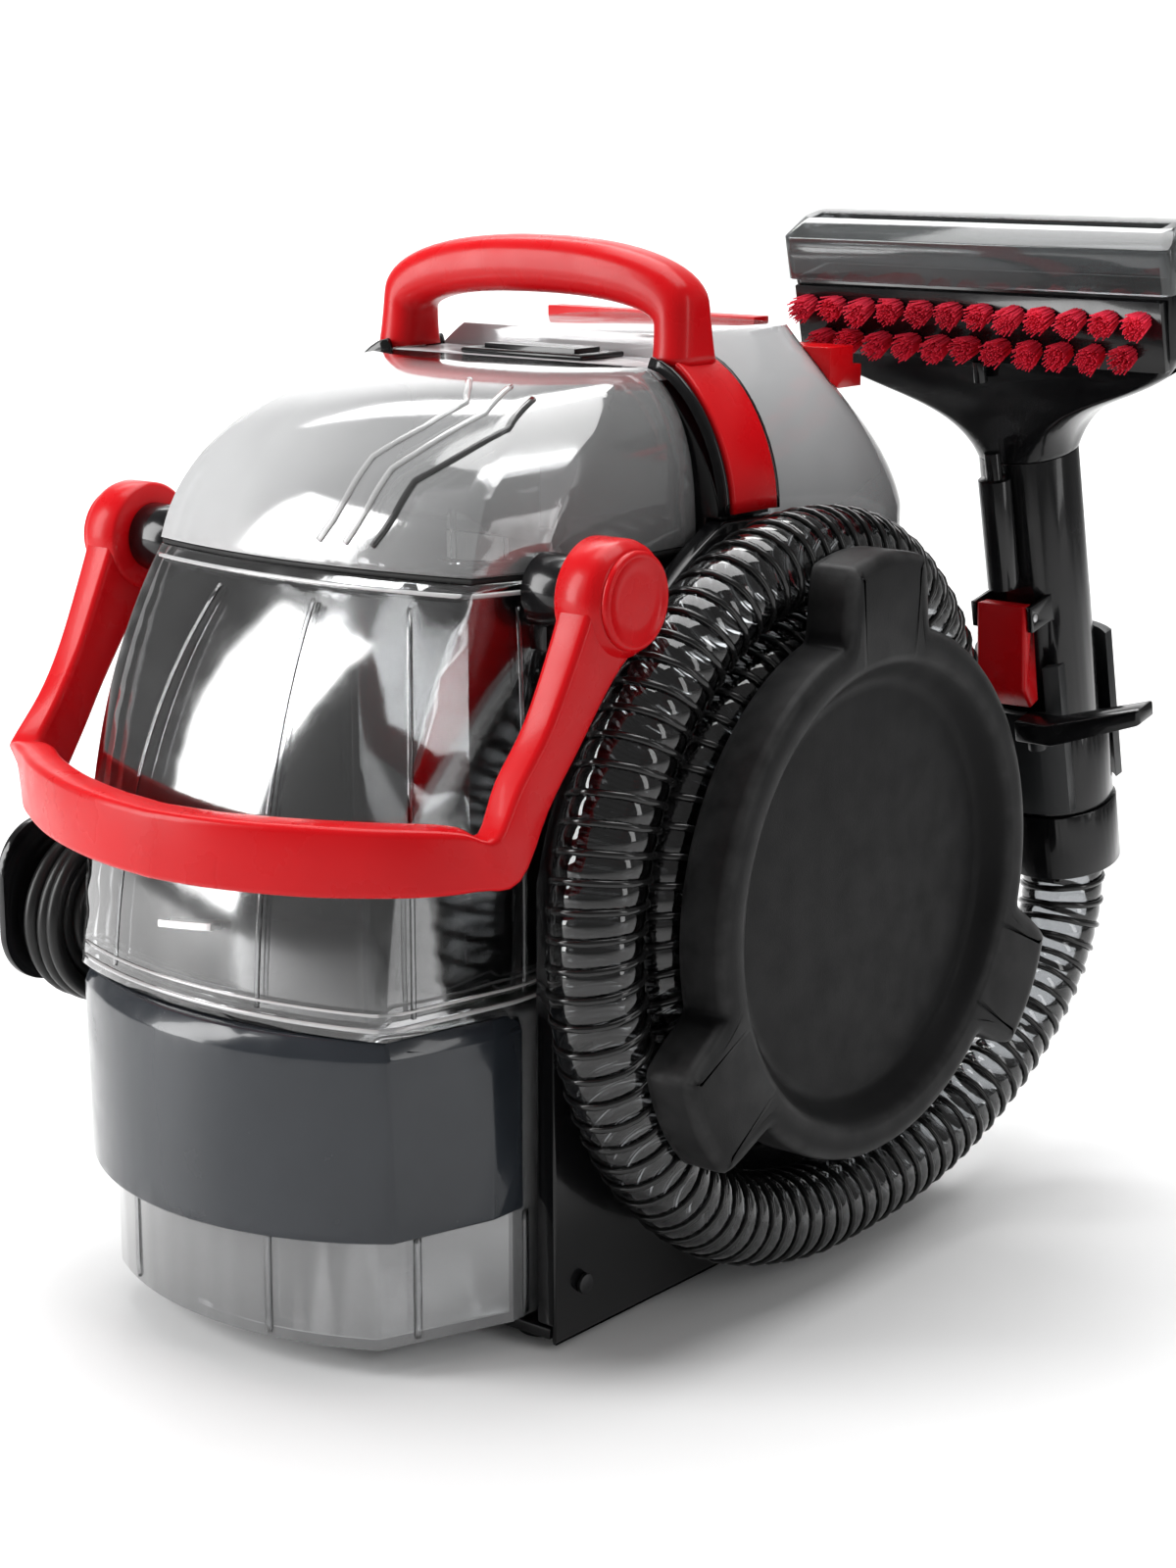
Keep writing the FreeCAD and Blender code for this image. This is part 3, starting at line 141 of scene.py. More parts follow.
def edge_highlighted(name, colour, edge, roughness, grain):
    """Textured plastic with a painted highlight: a paler colour along its sharper edges, in patches."""
    look = Look(name)
    bent = look.add("ShaderNodeNewGeometry").outputs["Pointiness"]
    # Painted highlight: the edge colour goes where the surface bends sharply.
    edge_highlight = look.ramp(bent, 0.0, 1.0, 0.505, 0.6)
    patchy = look.add("ShaderNodeMath", {0: edge_highlight, 1: look.ramp(look.noise(120, 5.0), 0.35, 1.0)},
                      operation="MULTIPLY")
    drift = look.ramp(look.noise(40, 4.0), shade(colour, 0.8), shade(colour, 1.25))
    mixed = look.add("ShaderNodeMix", {"Factor": patchy.outputs[0]}, data_type="RGBA")
    look.feed(mixed, 6, drift)
    look.feed(mixed, 7, (*edge, 1))
    look.feed(look.shader, "Base Color", mixed.outputs[2])
    look.feed(look.shader, "Roughness", look.ramp(look.noise(80, 4.0), roughness - 0.06, roughness + 0.08))
    look.feed(look.shader, "Normal", look.bump(look.noise(grain, 3.0), 0.06 * MM, 0.9))
    look.shader.inputs["Specular IOR Level"].default_value = 0.11
    return look.material


def clear(name, front, edge, roughness=0.03, milk=0.0, milk_colour=(0.8, 0.8, 0.8), shine=1.3, fade=None):
    """Thin clear plastic: it lets light straight through, darker where it is seen edge on."""
    look = Look(name)
    look.tree.nodes.remove(look.shader)
    facing = look.add("ShaderNodeLayerWeight", {"Blend": 0.35}).outputs["Facing"]
    tint = look.ramp(facing, front, edge, 0.35, 0.95)
    through = look.add("ShaderNodeBsdfTransparent", {"Color": tint})
    wavy = look.bump(look.noise(14, 2.0), 0.35 * MM, 0.35)
    rough = look.ramp(look.noise(90, 4.0), roughness, roughness + 0.04)
    gloss = look.add("ShaderNodeBsdfGlossy", {"Roughness": rough, "Normal": wavy})
    mirror = look.add("ShaderNodeFresnel", {"IOR": 1.49, "Normal": wavy})
    amount = look.times(mirror.outputs[0], shine)
    base = through.outputs[0]
    if milk:
        haze = look.ramp(look.noise(9, 3.0), milk * 0.8, milk * 1.2)
        # A fade changes the haze along an axis; on the lid and the clean tank it is painted light.
        if fade:
            haze = look.times(haze, look.across(*fade))
        dull = look.add("ShaderNodeBsdfDiffuse", {"Color": (*milk_colour, 1)})
        base = look.add("ShaderNodeMixShader", {0: haze, 1: base, 2: dull.outputs[0]}).outputs[0]
    mixed = look.add("ShaderNodeMixShader", {0: amount, 1: base, 2: gloss.outputs[0]})
    look.tree.links.new(mixed.outputs[0], look.out.inputs["Surface"])
    return look.material


def metal(name, colour, roughness):
    look = Look(name)
    look.shader.inputs["Metallic"].default_value = 1.0
    look.feed(look.shader, "Base Color", look.ramp(look.noise(60, 3.0), shade(colour, 0.8), colour))
    brushed = look.noise(900, 3.0, (1, 1, 0.04))
    look.feed(look.shader, "Roughness", look.ramp(brushed, roughness, roughness + 0.15))
    look.feed(look.shader, "Normal", look.bump(brushed, 0.02 * MM, 0.4))
    return look.material


RED = (0.52, 0.003, 0.006)
BLACK = (0.004, 0.004, 0.0045)
MATERIALS = {
    "red_plastic": moulded("red_plastic", RED, 0.3, 3200, 0.015, coat=0.06, mottle=0.05, specular=0.16),
    "clear_plastic": clear("clear_plastic", (0.94, 0.945, 0.95), (0.3, 0.31, 0.32), 0.06, shine=2.2),
    "smoke_plastic": clear("smoke_plastic", (0.5, 0.51, 0.52), (0.15, 0.15, 0.16), 0.06,
                           0.3, (0.13, 0.14, 0.14), 1.4),
    "slate_plastic": moulded("slate_plastic", (0.021, 0.025, 0.031), 0.2, 3000, 0.008, coat=0.35),
    "black_plastic": moulded("black_plastic", BLACK, 0.2, 3000, 0.01, coat=0.25, specular=0.25),
    # The paler grey in the textured plastic is a painted highlight along the disc's edges.
    "textured_plastic": edge_highlighted("textured_plastic", (0.0035, 0.0035, 0.0038), (0.09, 0.09, 0.09), 0.42, 2200),
    "grey_plastic": moulded("grey_plastic", (0.012, 0.013, 0.014), 0.4, 2400, 0.03),
    "rubber": moulded("rubber", (0.01, 0.01, 0.01), 0.6, 1800, 0.05),
    "hose_plastic": clear("hose_plastic", (0.5, 0.51, 0.52), (0.12, 0.12, 0.12), 0.05, shine=1.6),
    "cord_jacket": moulded("cord_jacket", (0.008, 0.008, 0.008), 0.36, 1500, 0.03),
    "steel": metal("steel", (0.55, 0.55, 0.56), 0.25),
    "bristle": moulded("bristle", (0.85, 0.03, 0.07), 0.5, 5000, 0.01, mottle=0.3),
    "float_plastic": moulded("float_plastic", (0.8, 0.8, 0.78), 0.35),
}
# The haze is the tank's own milkiness; its rise towards the top, whiter by the band, is a painted highlight.
CLEAN_TANK = clear("clean_tank_plastic", (0.84, 0.85, 0.86), (0.42, 0.43, 0.44), 0.06,
                   0.6, (0.74, 0.75, 0.76), 2.0, ("Z", 0.250, 0.325, 0.35, 1.0))
DIRTY_TANK = clear("dirty_tank_plastic", (0.93, 0.935, 0.94), (0.3, 0.31, 0.32), 0.07,
                   0.27, (0.62, 0.63, 0.64), 2.6, ("Z", 0.119, 0.115, 0.0, 1.0))
# The haze is the lid's own milkiness; its thinning from left to right is painted light, making the left of the
# lid lighter.
LID = clear("lid_plastic", (0.95, 0.955, 0.96), (0.4, 0.41, 0.42), 0.07,
            0.62, (0.74, 0.745, 0.75), 1.9, ("X", -0.03, 0.065, 1.0, 0.3))
# Whitened clear plastic: the white of the tank beads and of two lid ribs is a painted highlight.
HIGHLIGHT_BEAD = clear("bead_plastic_painted_highlight", (0.9, 0.9, 0.9), (0.35, 0.35, 0.35), 0.08, 0.5, (0.85, 0.85, 0.85), 2.5)
# A darker copy of the bead plastic: painted shade on the lid's third channel wall.
PAINTED_SHADE_RIB = clear("rib_plastic_painted_shade", (0.3, 0.3, 0.3), (0.1, 0.1, 0.1), 0.08,
                   0.6, (0.08, 0.08, 0.08), 1.0)
NECK = two_tone("neck_plastic", BLACK, (0.5, 0.51, 0.52), 0.3135, 0.2)
DARK_SCREW = metal("dark_screw", (0.06, 0.06, 0.062), 0.35)
HOSE_RIB = moulded("hose_rib_black", (0.006, 0.006, 0.006), 0.2, 2000, 0.02, coat=0.3)
WHITE_PRINT = moulded("white_print", (0.85, 0.85, 0.85), 0.4)


# ---- Mesh work ----

def keep(piece, slot, body="root", replaced=(), material=None):
    """Gives a new piece its material (its slot's unless one is given), hides the CAD nodes it replaces and
    fixes it to its body.
    """
    piece.data.materials.append(material or MATERIALS[slot])
    if replaced:
        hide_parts(*replaced)
    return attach(piece, body)


def as_piece(name, bm, smooth=True):
    bmesh.ops.recalc_face_normals(bm, faces=bm.faces)
    mesh = bpy.data.meshes.new(name)
    bm.to_mesh(mesh)
    bm.free()
    for face in mesh.polygons:
        face.use_smooth = smooth
    piece = bpy.data.objects.new(name, mesh)
    bpy.context.scene.collection.objects.link(piece)
    return piece


def add_loft(bm, rings, caps=True):
    """Skins a row of closed rings that have the same number of points."""
    rows = [[bm.verts.new(point) for point in ring] for ring in rings]
    for low, high in zip(rows, rows[1:]):
        for i in range(len(low)):
            j = (i + 1) % len(low)
            bm.faces.new((low[i], low[j], high[j], high[i]))
    if caps:
        for row in (rows[0], list(reversed(rows[-1]))):
            middle = bm.verts.new(sum((vertex.co for vertex in row), Vector()) / len(row))
            for here, after in zip(row, row[1:] + row[:1]):
                bm.faces.new((middle, here, after))
    return rows


def rounded_section(half_u, half_v, corner, steps=5):
    """A rounded rectangle as (u, v) pairs."""
    points = []
    for side_u, side_v, start in ((1, 1, 0), (-1, 1, 90), (-1, -1, 180), (1, -1, 270)):
        for i in range(steps + 1):
            angle = math.radians(start + 90 * i / steps)
            points.append((side_u * (half_u - corner) + corner * math.cos(angle),
                           side_v * (half_v - corner) + corner * math.sin(angle)))
    return points


def ring_at(centre, across, upright, section):
    return [centre + across * u + upright * v for u, v in section]


def spline_line(points, resolution=10):
    """The points of the smooth line that a route's NURBS spline follows."""
    curve = bpy.data.curves.new("route", "CURVE")
    curve.dimensions = "3D"
    curve.resolution_u = resolution
    spline = curve.splines.new("NURBS")
    spline.points.add(len(points) - 1)
    for knot, point in zip(spline.points, points):
        knot.co = (*point, 1)
    spline.order_u = 3
    spline.use_endpoint_u = True
    holder = bpy.data.objects.new("route", curve)
    bpy.context.scene.collection.objects.link(holder)
    mesh = bpy.data.meshes.new_from_object(holder)
    line = [vertex.co.copy() for vertex in mesh.vertices]
    bpy.data.objects.remove(holder)
    return line


def evenly(line, step):
    """The same line with its points a step apart, and its length."""
    spans = [(b - a).length for a, b in zip(line, line[1:])]
    length = sum(spans)
    count = max(2, round(length / step))
    result, index, passed = [], 0, 0.0
    for i in range(count + 1):
        target = length * i / count
        while index < len(spans) - 1 and passed + spans[index] < target:
            passed += spans[index]
            index += 1
        share = min(1.0, (target - passed) / max(spans[index], 1e-9))
        result.append(line[index].lerp(line[index + 1], share))
    return result, length


def frames_along(line):
    """Tangent, side and up at each point of a line that runs mostly in planes across X."""
    result = []
    for i, point in enumerate(line):
        tangent = (line[min(i + 1, len(line) - 1)] - line[max(i - 1, 0)]).normalized()
        side = (Vector((1, 0, 0)) - tangent * tangent.x).normalized()
        result.append((point, side, tangent.cross(side)))
    return result


def tube_piece(name, line, radius_at, around):
    """A tube along a line whose radius may change along it and round it."""
    bm = bmesh.new()
    rings = []
    for i, (point, side, up) in enumerate(frames_along(line)):
        ring = []
        for j in range(around):
            angle = 2 * math.pi * j / around
            ring.append(point + (side * math.cos(angle) + up * math.sin(angle)) * radius_at(i, angle))
        rings.append(ring)
    add_loft(bm, rings)
    return as_piece(name, bm)


# ---- The hose, wound once and a half round its reel ----

HOSE_DIAMETER = 0.0335
HOSE_PITCH = 0.0085
HOSE_PLANE = 0.112
REEL = Vector((HOSE_PLANE, 0.005, 0.144))
HOSE_LEAD = [(184.4, 116), (186, 100), (178, 81), (164, 65), (147, 52), (127, 41), (104, 31.5), (79, 25),
             (52, 21.5), (27, 20.6)]
HOSE_TURNS = [(90, 123.5), (140, 116.5), (180, 114.5), (290, 114.5), (320, 104.5), (360, 90.5), (400, 80),
              (630, 80)]


def between(keys, place):
    for (low, first), (high, second) in zip(keys, keys[1:]):
        if low <= place <= high:
            return first + (second - first) * (place - low) / (high - low)
    return keys[-1][1]


def hose_route():
    points = [Vector((HOSE_PLANE, y * MM, z * MM)) for y, z in HOSE_LEAD]
    for degrees in range(90, 631, 20):
        angle = math.radians(degrees)
        radius = between(HOSE_TURNS, degrees) * MM
        points.append(REEL + Vector((0, radius * math.cos(angle), -radius * math.sin(angle))))
    return points


def make_hose():
    steps_per_pitch = 8
    line, length = evenly(spline_line(hose_route()), HOSE_PITCH / steps_per_pitch)
    valley, swell = HOSE_DIAMETER / 2 - 1.9 * MM, 0.9 * MM

    def wall(i, angle):
        turn = 2 * math.pi * i / steps_per_pitch - angle
        return valley + swell * abs(math.sin(turn / 2)) ** 0.7

    hose = tube_piece("suction_hose_wall", line, wall, 28)
    frames = frames_along(line)
    per_turn = 24
    helix = []
    count = int(length / HOSE_PITCH * per_turn)
    for k in range(count):
        place = k / per_turn * steps_per_pitch
        index = min(int(place), len(frames) - 2)
        share = place - index
        point = frames[index][0].lerp(frames[index + 1][0], share)
        _, side, up = frames[index]
        angle = 2 * math.pi * k / per_turn
        out = side * math.cos(angle) + up * math.sin(angle)
        helix.append((point, out, side.cross(up)))
    bm = bmesh.new()
    rib_half = 1.25 * MM
    middle = HOSE_DIAMETER / 2 - rib_half * 0.85
    rings = []
    for point, out, along in helix:
        rings.append([point + out * (middle + rib_half * 0.8 * math.sin(a)) + along * rib_half * math.cos(a)
                      for a in (2 * math.pi * j / 8 for j in range(8))])
    add_loft(bm, rings)
    rib = keep(as_piece("suction_hose_rib", bm), "hose_plastic", material=HOSE_RIB)
    keep(hose, "hose_plastic", replaced=("suction_hose",))


# ---- The mains cord, wound on its wrap ----

CORD_DIAMETER = 0.0062
WRAP = {"front": -121, "rear": -20, "height": 122, "core": 8, "face": -93.4}
CORD_ACROSS = 3
CORD_LAYERS = 4


def cord_route():
    """From the strain relief into the winding, round it layer by layer and out to the plug."""
    lead = [(-104, 46, 98), (-104, 32, 97.5), (-103, 18, 95.5), (-101, 5, 92)]
    tail = [(-104, -2, 152), (-104, 10, 150.5), (-104, 22, 146.5), (-104, 34, 141.5), (-104, 46, 138),
            (-104, 58, 137)]
    pitch, arc_start = 6.7, 30
    arc_steps = 6
    swell = 1 / math.cos(math.pi / arc_steps / 2) ** 0.9
    turns = []
    total = CORD_ACROSS * CORD_LAYERS
    spots = []
    for turn in range(total):
        radius = WRAP["core"] + 3.4 + 6.2 * (turn // CORD_ACROSS)
        column = turn % CORD_ACROSS
        if turn // CORD_ACROSS % 2:
            column = CORD_ACROSS - 1 - column
        spots.append((WRAP["face"] - 4.2 - pitch * column, radius))
    spots.append(spots[-1])
    for turn in range(total):
        marks = [("run", WRAP["rear"] - arc_start, -1), ("run", WRAP["front"] + arc_start, -1)]
        marks += [("front", i, 0) for i in range(arc_steps + 1)]
        marks += [("run", WRAP["front"] + arc_start, 1), ("run", WRAP["rear"] - arc_start, 1)]
        marks += [("rear", i, 0) for i in range(arc_steps + 1)]
        for place, (kind, value, side) in enumerate(marks):
            share = place / len(marks)
            x = spots[turn][0] + (spots[turn + 1][0] - spots[turn][0]) * share
            radius = spots[turn][1] + (spots[turn + 1][1] - spots[turn][1]) * share
            wobble = 0.25 * math.sin(turn * 2.4 + place * 0.9)
            if kind == "run":
                turns.append((x, value, WRAP["height"] + side * (radius + wobble)))
                continue
            angle = math.pi * value / arc_steps
            centre = WRAP[kind]
            out = -1 if kind == "front" else 1
            lift = -math.cos(angle) if kind == "front" else math.cos(angle)
            reach = radius * swell + wobble
            turns.append((x, centre + out * reach * math.sin(angle), WRAP["height"] + lift * reach))
    while turns[-1][1] > -60 or turns[-1][2] < WRAP["height"]:
        turns.pop()
    return [Vector(p) * MM for p in lead + turns + tail]


def make_cord():
    line, length = evenly(spline_line(cord_route(), 5), 0.0035)
    radius = CORD_DIAMETER / 2
    cord = tube_piece("mains_cord", line, lambda i, angle: radius, 12)
    keep(cord, "cord_jacket", replaced=("power_cord_coil", "power_cord_runs"))


# ---- Carry handle and its flank bands ----

FLANK_STEPS = 14


def make_carry_handle():
    top, foot, shoulder = 0.360, 0.3186, 0.338
    under_top, under_shoulder = 0.3400, 0.3300
    half, leg = 0.070, 0.0155
    bm = bmesh.new()
    rings = []
    steps = 44
    for i in range(steps + 1):
        t = -1 + 2 * i / steps
        outer = handle_edge(t, half, shoulder, foot, top)
        inner = handle_edge(t, half - leg, under_shoulder, foot, under_top)
        centre = (outer + inner) / 2
        across = (outer - inner) / 2
        depth = 0.0105 + 0.0022 * abs(t) ** 6
        section = rounded_section(across.length, depth, min(0.0085, across.length * 0.94), 7)
        rings.append(ring_at(centre, across.normalized(), Vector((0, 1, 0)), section))
    add_loft(bm, rings)
    for side in (1, -1):
        band = []
        for i in range(FLANK_STEPS + 1):
            share = i / FLANK_STEPS
            width = 0.0104 + 0.0022 * min(1.0, 3 * share)
            section = rounded_section(0.0021, width, 0.0012, 3)
            band.append(flank_ring(side, share, (0.0605, 0.0925), (0.3205, 0.2705), 0, section))
        add_loft(bm, band)
    keep(as_piece("carry_handle_shell", bm), "red_plastic", replaced=("carry_handle",))
    make_flank_trims()


def flank_ring(side, share, run, drop, y, section):
    """A ring of a strip that bends from the handle's foot down a flank; share is 0 at the foot."""
    (near, far), (high, low) = run, drop
    x = near + (far - near) * math.sin(share * math.pi / 2) ** 0.9
    z = high - (high - low) * (1 - math.cos(share * math.pi / 2)) ** 0.75
    out = Vector((side * (0.35 + 0.65 * share), 0, 0.9 - 0.75 * share)).normalized()
    return ring_at(Vector((side * x, y, z)), out, Vector((0, 1, 0)), section)


def make_flank_trims():
    """Black beads that follow both edges of the red bands down the machine's flanks."""
    bm = bmesh.new()
    section = rounded_section(0.0022, 0.0011, 0.0009, 3)
    for side in (1, -1):
        for y in (-0.0143, 0.0143):
            rings = []
            for i in range(FLANK_STEPS + 1):
                rings.append(flank_ring(side, i / FLANK_STEPS, (0.0600, 0.0915), (0.3195, 0.2700), y, section))
            add_loft(bm, rings)
    keep(as_piece("flank_trims", bm), "black_plastic")


def handle_edge(t, half, shoulder, foot, top):
    """A point of the arch's inner or outer edge, from its left foot at t = -1 to its right one."""
    side = 1 if t > 0 else -1
    t = abs(t)
    if t > 0.72:
        share = (t - 0.72) / 0.28
        return Vector((side * (half + 0.001 * share), 0, shoulder + (foot - shoulder) * share))
    angle = t / 0.72 * math.pi / 2
    power = 2.25
    return Vector((side * half * math.sin(angle) ** (2 / power), 0,
                   shoulder + (top - shoulder) * math.cos(angle) ** (2 / power)))


# ---- Bail ----

PIVOT = Vector((0, -0.096, 0.255))
BAR_CENTRE_Y = -0.034
BAR_RADIUS = 0.156


def bail_keys():
    """Centre, outward direction, upright direction and half sizes down one arm and along the bar."""
    lean = Vector((0, -0.79, 0.61)).normalized()
    x = Vector((1, 0, 0))
    keys = [
        (Vector((0.1082, -0.100, 0.2500)), x, lean, 0.0072, 0.0150),
        (Vector((0.1080, -0.110, 0.2370)), x, lean, 0.0066, 0.0112),
        (Vector((0.1070, -0.124, 0.2150)), x, lean, 0.0061, 0.0088),
        (Vector((0.1055, -0.136, 0.1985)), x, lean, 0.0060, 0.0088),
    ]
    for i, degrees in enumerate((43, 39.5, 35, 29, 22, 15, 8, 0)):
        angle = math.radians(degrees)
        out = Vector((math.sin(angle), -math.cos(angle), 0))
        centre = Vector((0, BAR_CENTRE_Y, 0.1815 - 0.0005 * i)) + out * BAR_RADIUS
        blend = min(1.0, (i + 1) / 3)
        upright = lean.lerp(Vector((0, 0, 1)), blend).normalized()
        across = x.lerp(out, blend).normalized()
        keys.append((centre, across, upright, 0.0061, 0.0098 + 0.0004 * min(i, 4)))
    return keys


def smooth_keys(keys, parts):
    """Extra keys between the given ones along Catmull-Rom lines."""
    result = []
    for i in range(len(keys) - 1):
        before, start = keys[max(i - 1, 0)], keys[i]
        stop, after = keys[i + 1], keys[min(i + 2, len(keys) - 1)]
        for part in range(parts):
            t = part / parts
            mixed = []
            for a, b, c, d in zip(before, start, stop, after):
                mixed.append(0.5 * ((2 * b) + (c - a) * t + (2 * a - 5 * b + 4 * c - d) * t * t
                                    + (3 * b - 3 * c + d - a) * t ** 3))
            result.append(mixed)
    result.append(list(keys[-1]))
    return result


def make_bail():
    half = smooth_keys(bail_keys(), 4)
    right = [(c, a.normalized(), u.normalized(), hu, hv) for c, a, u, hu, hv in half]
    left = []
    for centre, across, upright, half_u, half_v in reversed(right[:-1]):
        flip = Vector((-1, 1, 1))
        left.append((centre * flip, across * flip, upright * flip, half_u, half_v))
    bm = bmesh.new()
    rings = []
    for centre, across, upright, half_u, half_v in right + left:
        rings.append(ring_at(centre, across, upright, rounded_section(half_u, half_v, 0.0024, 4)))
    add_loft(bm, rings)
    for side in (1, -1):
        add_boss(bm, side)
    keep(as_piece("bail_shell", bm), "red_plastic", "bail", ("bail_handle",))


def add_turned(bm, side, profile, around):
    """A round part on the bail's pivot axis, turned from (distance out, radius) pairs."""
    rings = []
    for x, radius in profile:
        rings.append([Vector((side * x, PIVOT.y + radius * math.cos(a), PIVOT.z + radius * math.sin(a)))
                      for a in (2 * math.pi * i / around for i in range(around))])
    add_loft(bm, rings)


def add_boss(bm, side):
    """The round pivot boss, with a bevelled rim round a shallow recess."""
    profile = [(0.100, 0.011), (0.100, 0.0178), (0.1012, 0.019), (0.1125, 0.019), (0.1150, 0.0182),
               (0.1165, 0.0166), (0.1170, 0.0162)]
    add_turned(bm, side, profile, 64)


def make_bail_caps():
    """Flat round caps in the bosses, with a fine raised rim."""
    bm = bmesh.new()
    profile = [(0.1160, 0.0158), (0.1188, 0.0158), (0.1194, 0.0150), (0.1194, 0.0138), (0.1187, 0.0133),
               (0.1187, 0.0085), (0.1189, 0.0020)]
    for side in (1, -1):
        add_turned(bm, side, profile, 56)
    keep(as_piece("bail_cap_discs", bm), "red_plastic", "bail", ("bail_caps",))


# ---- Reel disc ----

DISC = {"low": 0.1293, "face": 0.147, "radius": 0.092, "lobe": 0.117, "tip": 10.0, "root": 16.5}


def disc_radius(degrees):
    """The disc's outer radius at an angle: a circle with three lobes."""
    away = min(abs((degrees - lobe + 180) % 360 - 180) for lobe in (90, 210, 330))
    share = min(1.0, max(0.0, (DISC["root"] - away) / (DISC["root"] - DISC["tip"])))
    eased = share * share * (3 - 2 * share)
    crown = 0.0012 * math.cos(math.radians(min(away, DISC["tip"]) * 9))
    return DISC["radius"] + (DISC["lobe"] - 0.0012 - DISC["radius"]) * eased + crown * eased


def make_disc():
    count = 540
    outline = []
    for i in range(count):
        degrees = 360 * i / count
        angle = math.radians(degrees)
        radius = disc_radius(degrees)
        outline.append(Vector((radius * math.cos(angle), radius * math.sin(angle))))
    inward = []
    for i in range(count):
        run = outline[(i + 1) % count] - outline[i - 1]
        inward.append(Vector((-run.y, run.x)).normalized())
    rings = [[place(DISC["low"], p * 0.02) for p in outline]]
    low, face = DISC["low"], DISC["face"]
    edges = [(low, 0), (low + 0.002, 0), (face - 0.0042, 0), (face - 0.0022, 0.0004),
             (face - 0.0008, 0.0015), (face - 0.0001, 0.0032), (face, 0.0048), (face, 0.0060)]
    for x, inset in edges:
        rings.append([place(x, p + n * inset) for p, n in zip(outline, inward)])
    dish = [(face, 0.0825), (face - 0.0006, 0.0805), (face - 0.0022, 0.0788), (face - 0.0052, 0.0760),
            (face - 0.0076, 0.0738), (face - 0.0086, 0.0722), (face - 0.0090, 0.0705),
            (face - 0.0090, 0.0690)]
    for x, radius in dish:
        rings.append([place(x, p.normalized() * radius) for p in outline])
    bm = bmesh.new()
    add_loft(bm, rings)
    keep(as_piece("hose_reel_cover", bm), "textured_plastic", replaced=("hose_reel_disc",))


def place(x, flat):
    return Vector((x, REEL.y + flat.x, REEL.z + flat.y))


# ---- Brush ----

TOOL_FOOT = Vector((0.112, 0.1844, 0.116))
TOOL_TURN = Matrix.Rotation(math.radians(12.7), 3, "X")


def on_tool(x, y, z):
    return TOOL_FOOT + TOOL_TURN @ Vector((x, y, z))


def make_bristles():
    """Tufts of single filaments in two staggered rows, splayed a little at their cut ends."""
    bm = bmesh.new()
    tufts, base, tip = 12, -0.0304, -0.0400
    pitch = (0.160 - 0.022) / (tufts - 1)
    middle = (0.206 + 0.237) / 2 + 0.001
    for row, number in ((middle + 0.0062, tufts), (middle - 0.0062, tufts - 1)):
        for i in range(number):
            x = pitch * (i - (number - 1) / 2)
            add_tuft(bm, x, row, base, tip)
    keep(as_piece("brush_tufts", bm, smooth=False), "bristle", replaced=("brush_bristles",))


def add_tuft(bm, x, row, base, tip):
    filaments, golden_angle = 85, 2.39996
    lean = Vector((dice.uniform(-0.0007, 0.0007), 0, dice.uniform(-0.0012, 0.0004)))
    for k in range(filaments):
        reach = math.sqrt((k + 0.5) / filaments)
        angle = k * golden_angle
        root = Vector((x + 0.0033 * reach * math.cos(angle), base, row + 0.0033 * reach * math.sin(angle)))
        spread = 0.0050 * reach * dice.uniform(0.85, 1.12)
        cut = tip + dice.uniform(0, 0.0022)
        end = Vector((x + spread * math.cos(angle), cut, row + spread * math.sin(angle))) + lean
        thick = 0.00034
        rows = []
        for centre, size in ((root, thick), (end, thick * 0.9)):
            corners = [Vector((size * math.cos(a), 0, size * math.sin(a))) for a in (0, 2.094, 4.189)]
            rows.append([bm.verts.new(on_tool(*(centre + corner))) for corner in corners])
        low, high = rows
        for j in range(3):
            n = (j + 1) % 3
            bm.faces.new((low[j], low[n], high[n], high[j]))
        bm.faces.new(high)
        bm.faces.new(list(reversed(low)))


# ---- Ribs and lines on the clear mouldings ----

def skin_point(node, start, direction):
    """Where a line from inside a CAD node last leaves its skin."""
    thing = nodes[node]
    start = Vector(start)
    direction = Vector(direction).normalized()
    found = None
    for _ in range(6):
        hit, spot, normal, _ = thing.ray_cast(start, direction)
        if not hit:
            break
        found = (spot.copy(), normal.copy() if normal.dot(direction) > 0 else -normal)
        start = spot + direction * 1e-5
    return found


def add_rib(bm, spots, width, height):
    """A raised bead along a list of (point, normal) pairs on a skin."""
    rings = []
    for i, (spot, normal) in enumerate(spots):
        ahead = (spots[min(i + 1, len(spots) - 1)][0] - spots[max(i - 1, 0)][0]).normalized()
        side = ahead.cross(normal).normalized()
        section = [(-width, -0.2 * MM), (-width * 0.8, height * 0.6), (-width * 0.4, height),
                   (width * 0.4, height), (width * 0.8, height * 0.6), (width, -0.2 * MM)]
        rings.append([spot + side * u + normal * v for u, v in section])
    add_loft(bm, rings)


def rib_line(node, places):
    spots = []
    for start, direction in places:
        found = skin_point(node, start, direction)
        if found:
            spots.append(found)
    return spots


def make_tank_ribs():
    bm = bmesh.new()
    for degrees in (-62, -24, 14, 42, 66):
        angle = math.radians(degrees)
        direction = (math.sin(angle), -math.cos(angle), 0)
        upper = [((0, -0.070, z * MM), direction) for z in range(124, 256, 6)]
        add_rib(bm, rib_line("tank_shell", upper), 1.0 * MM, 0.7 * MM)
        lower = [((0, -0.070, z * MM), direction) for z in range(12, 50, 4)]
        add_rib(bm, rib_line("tank_shell", lower), 1.6 * MM, 0.9 * MM)
    keep(as_piece("tank_ribs", bm), "clear_plastic", "dirty_tank")


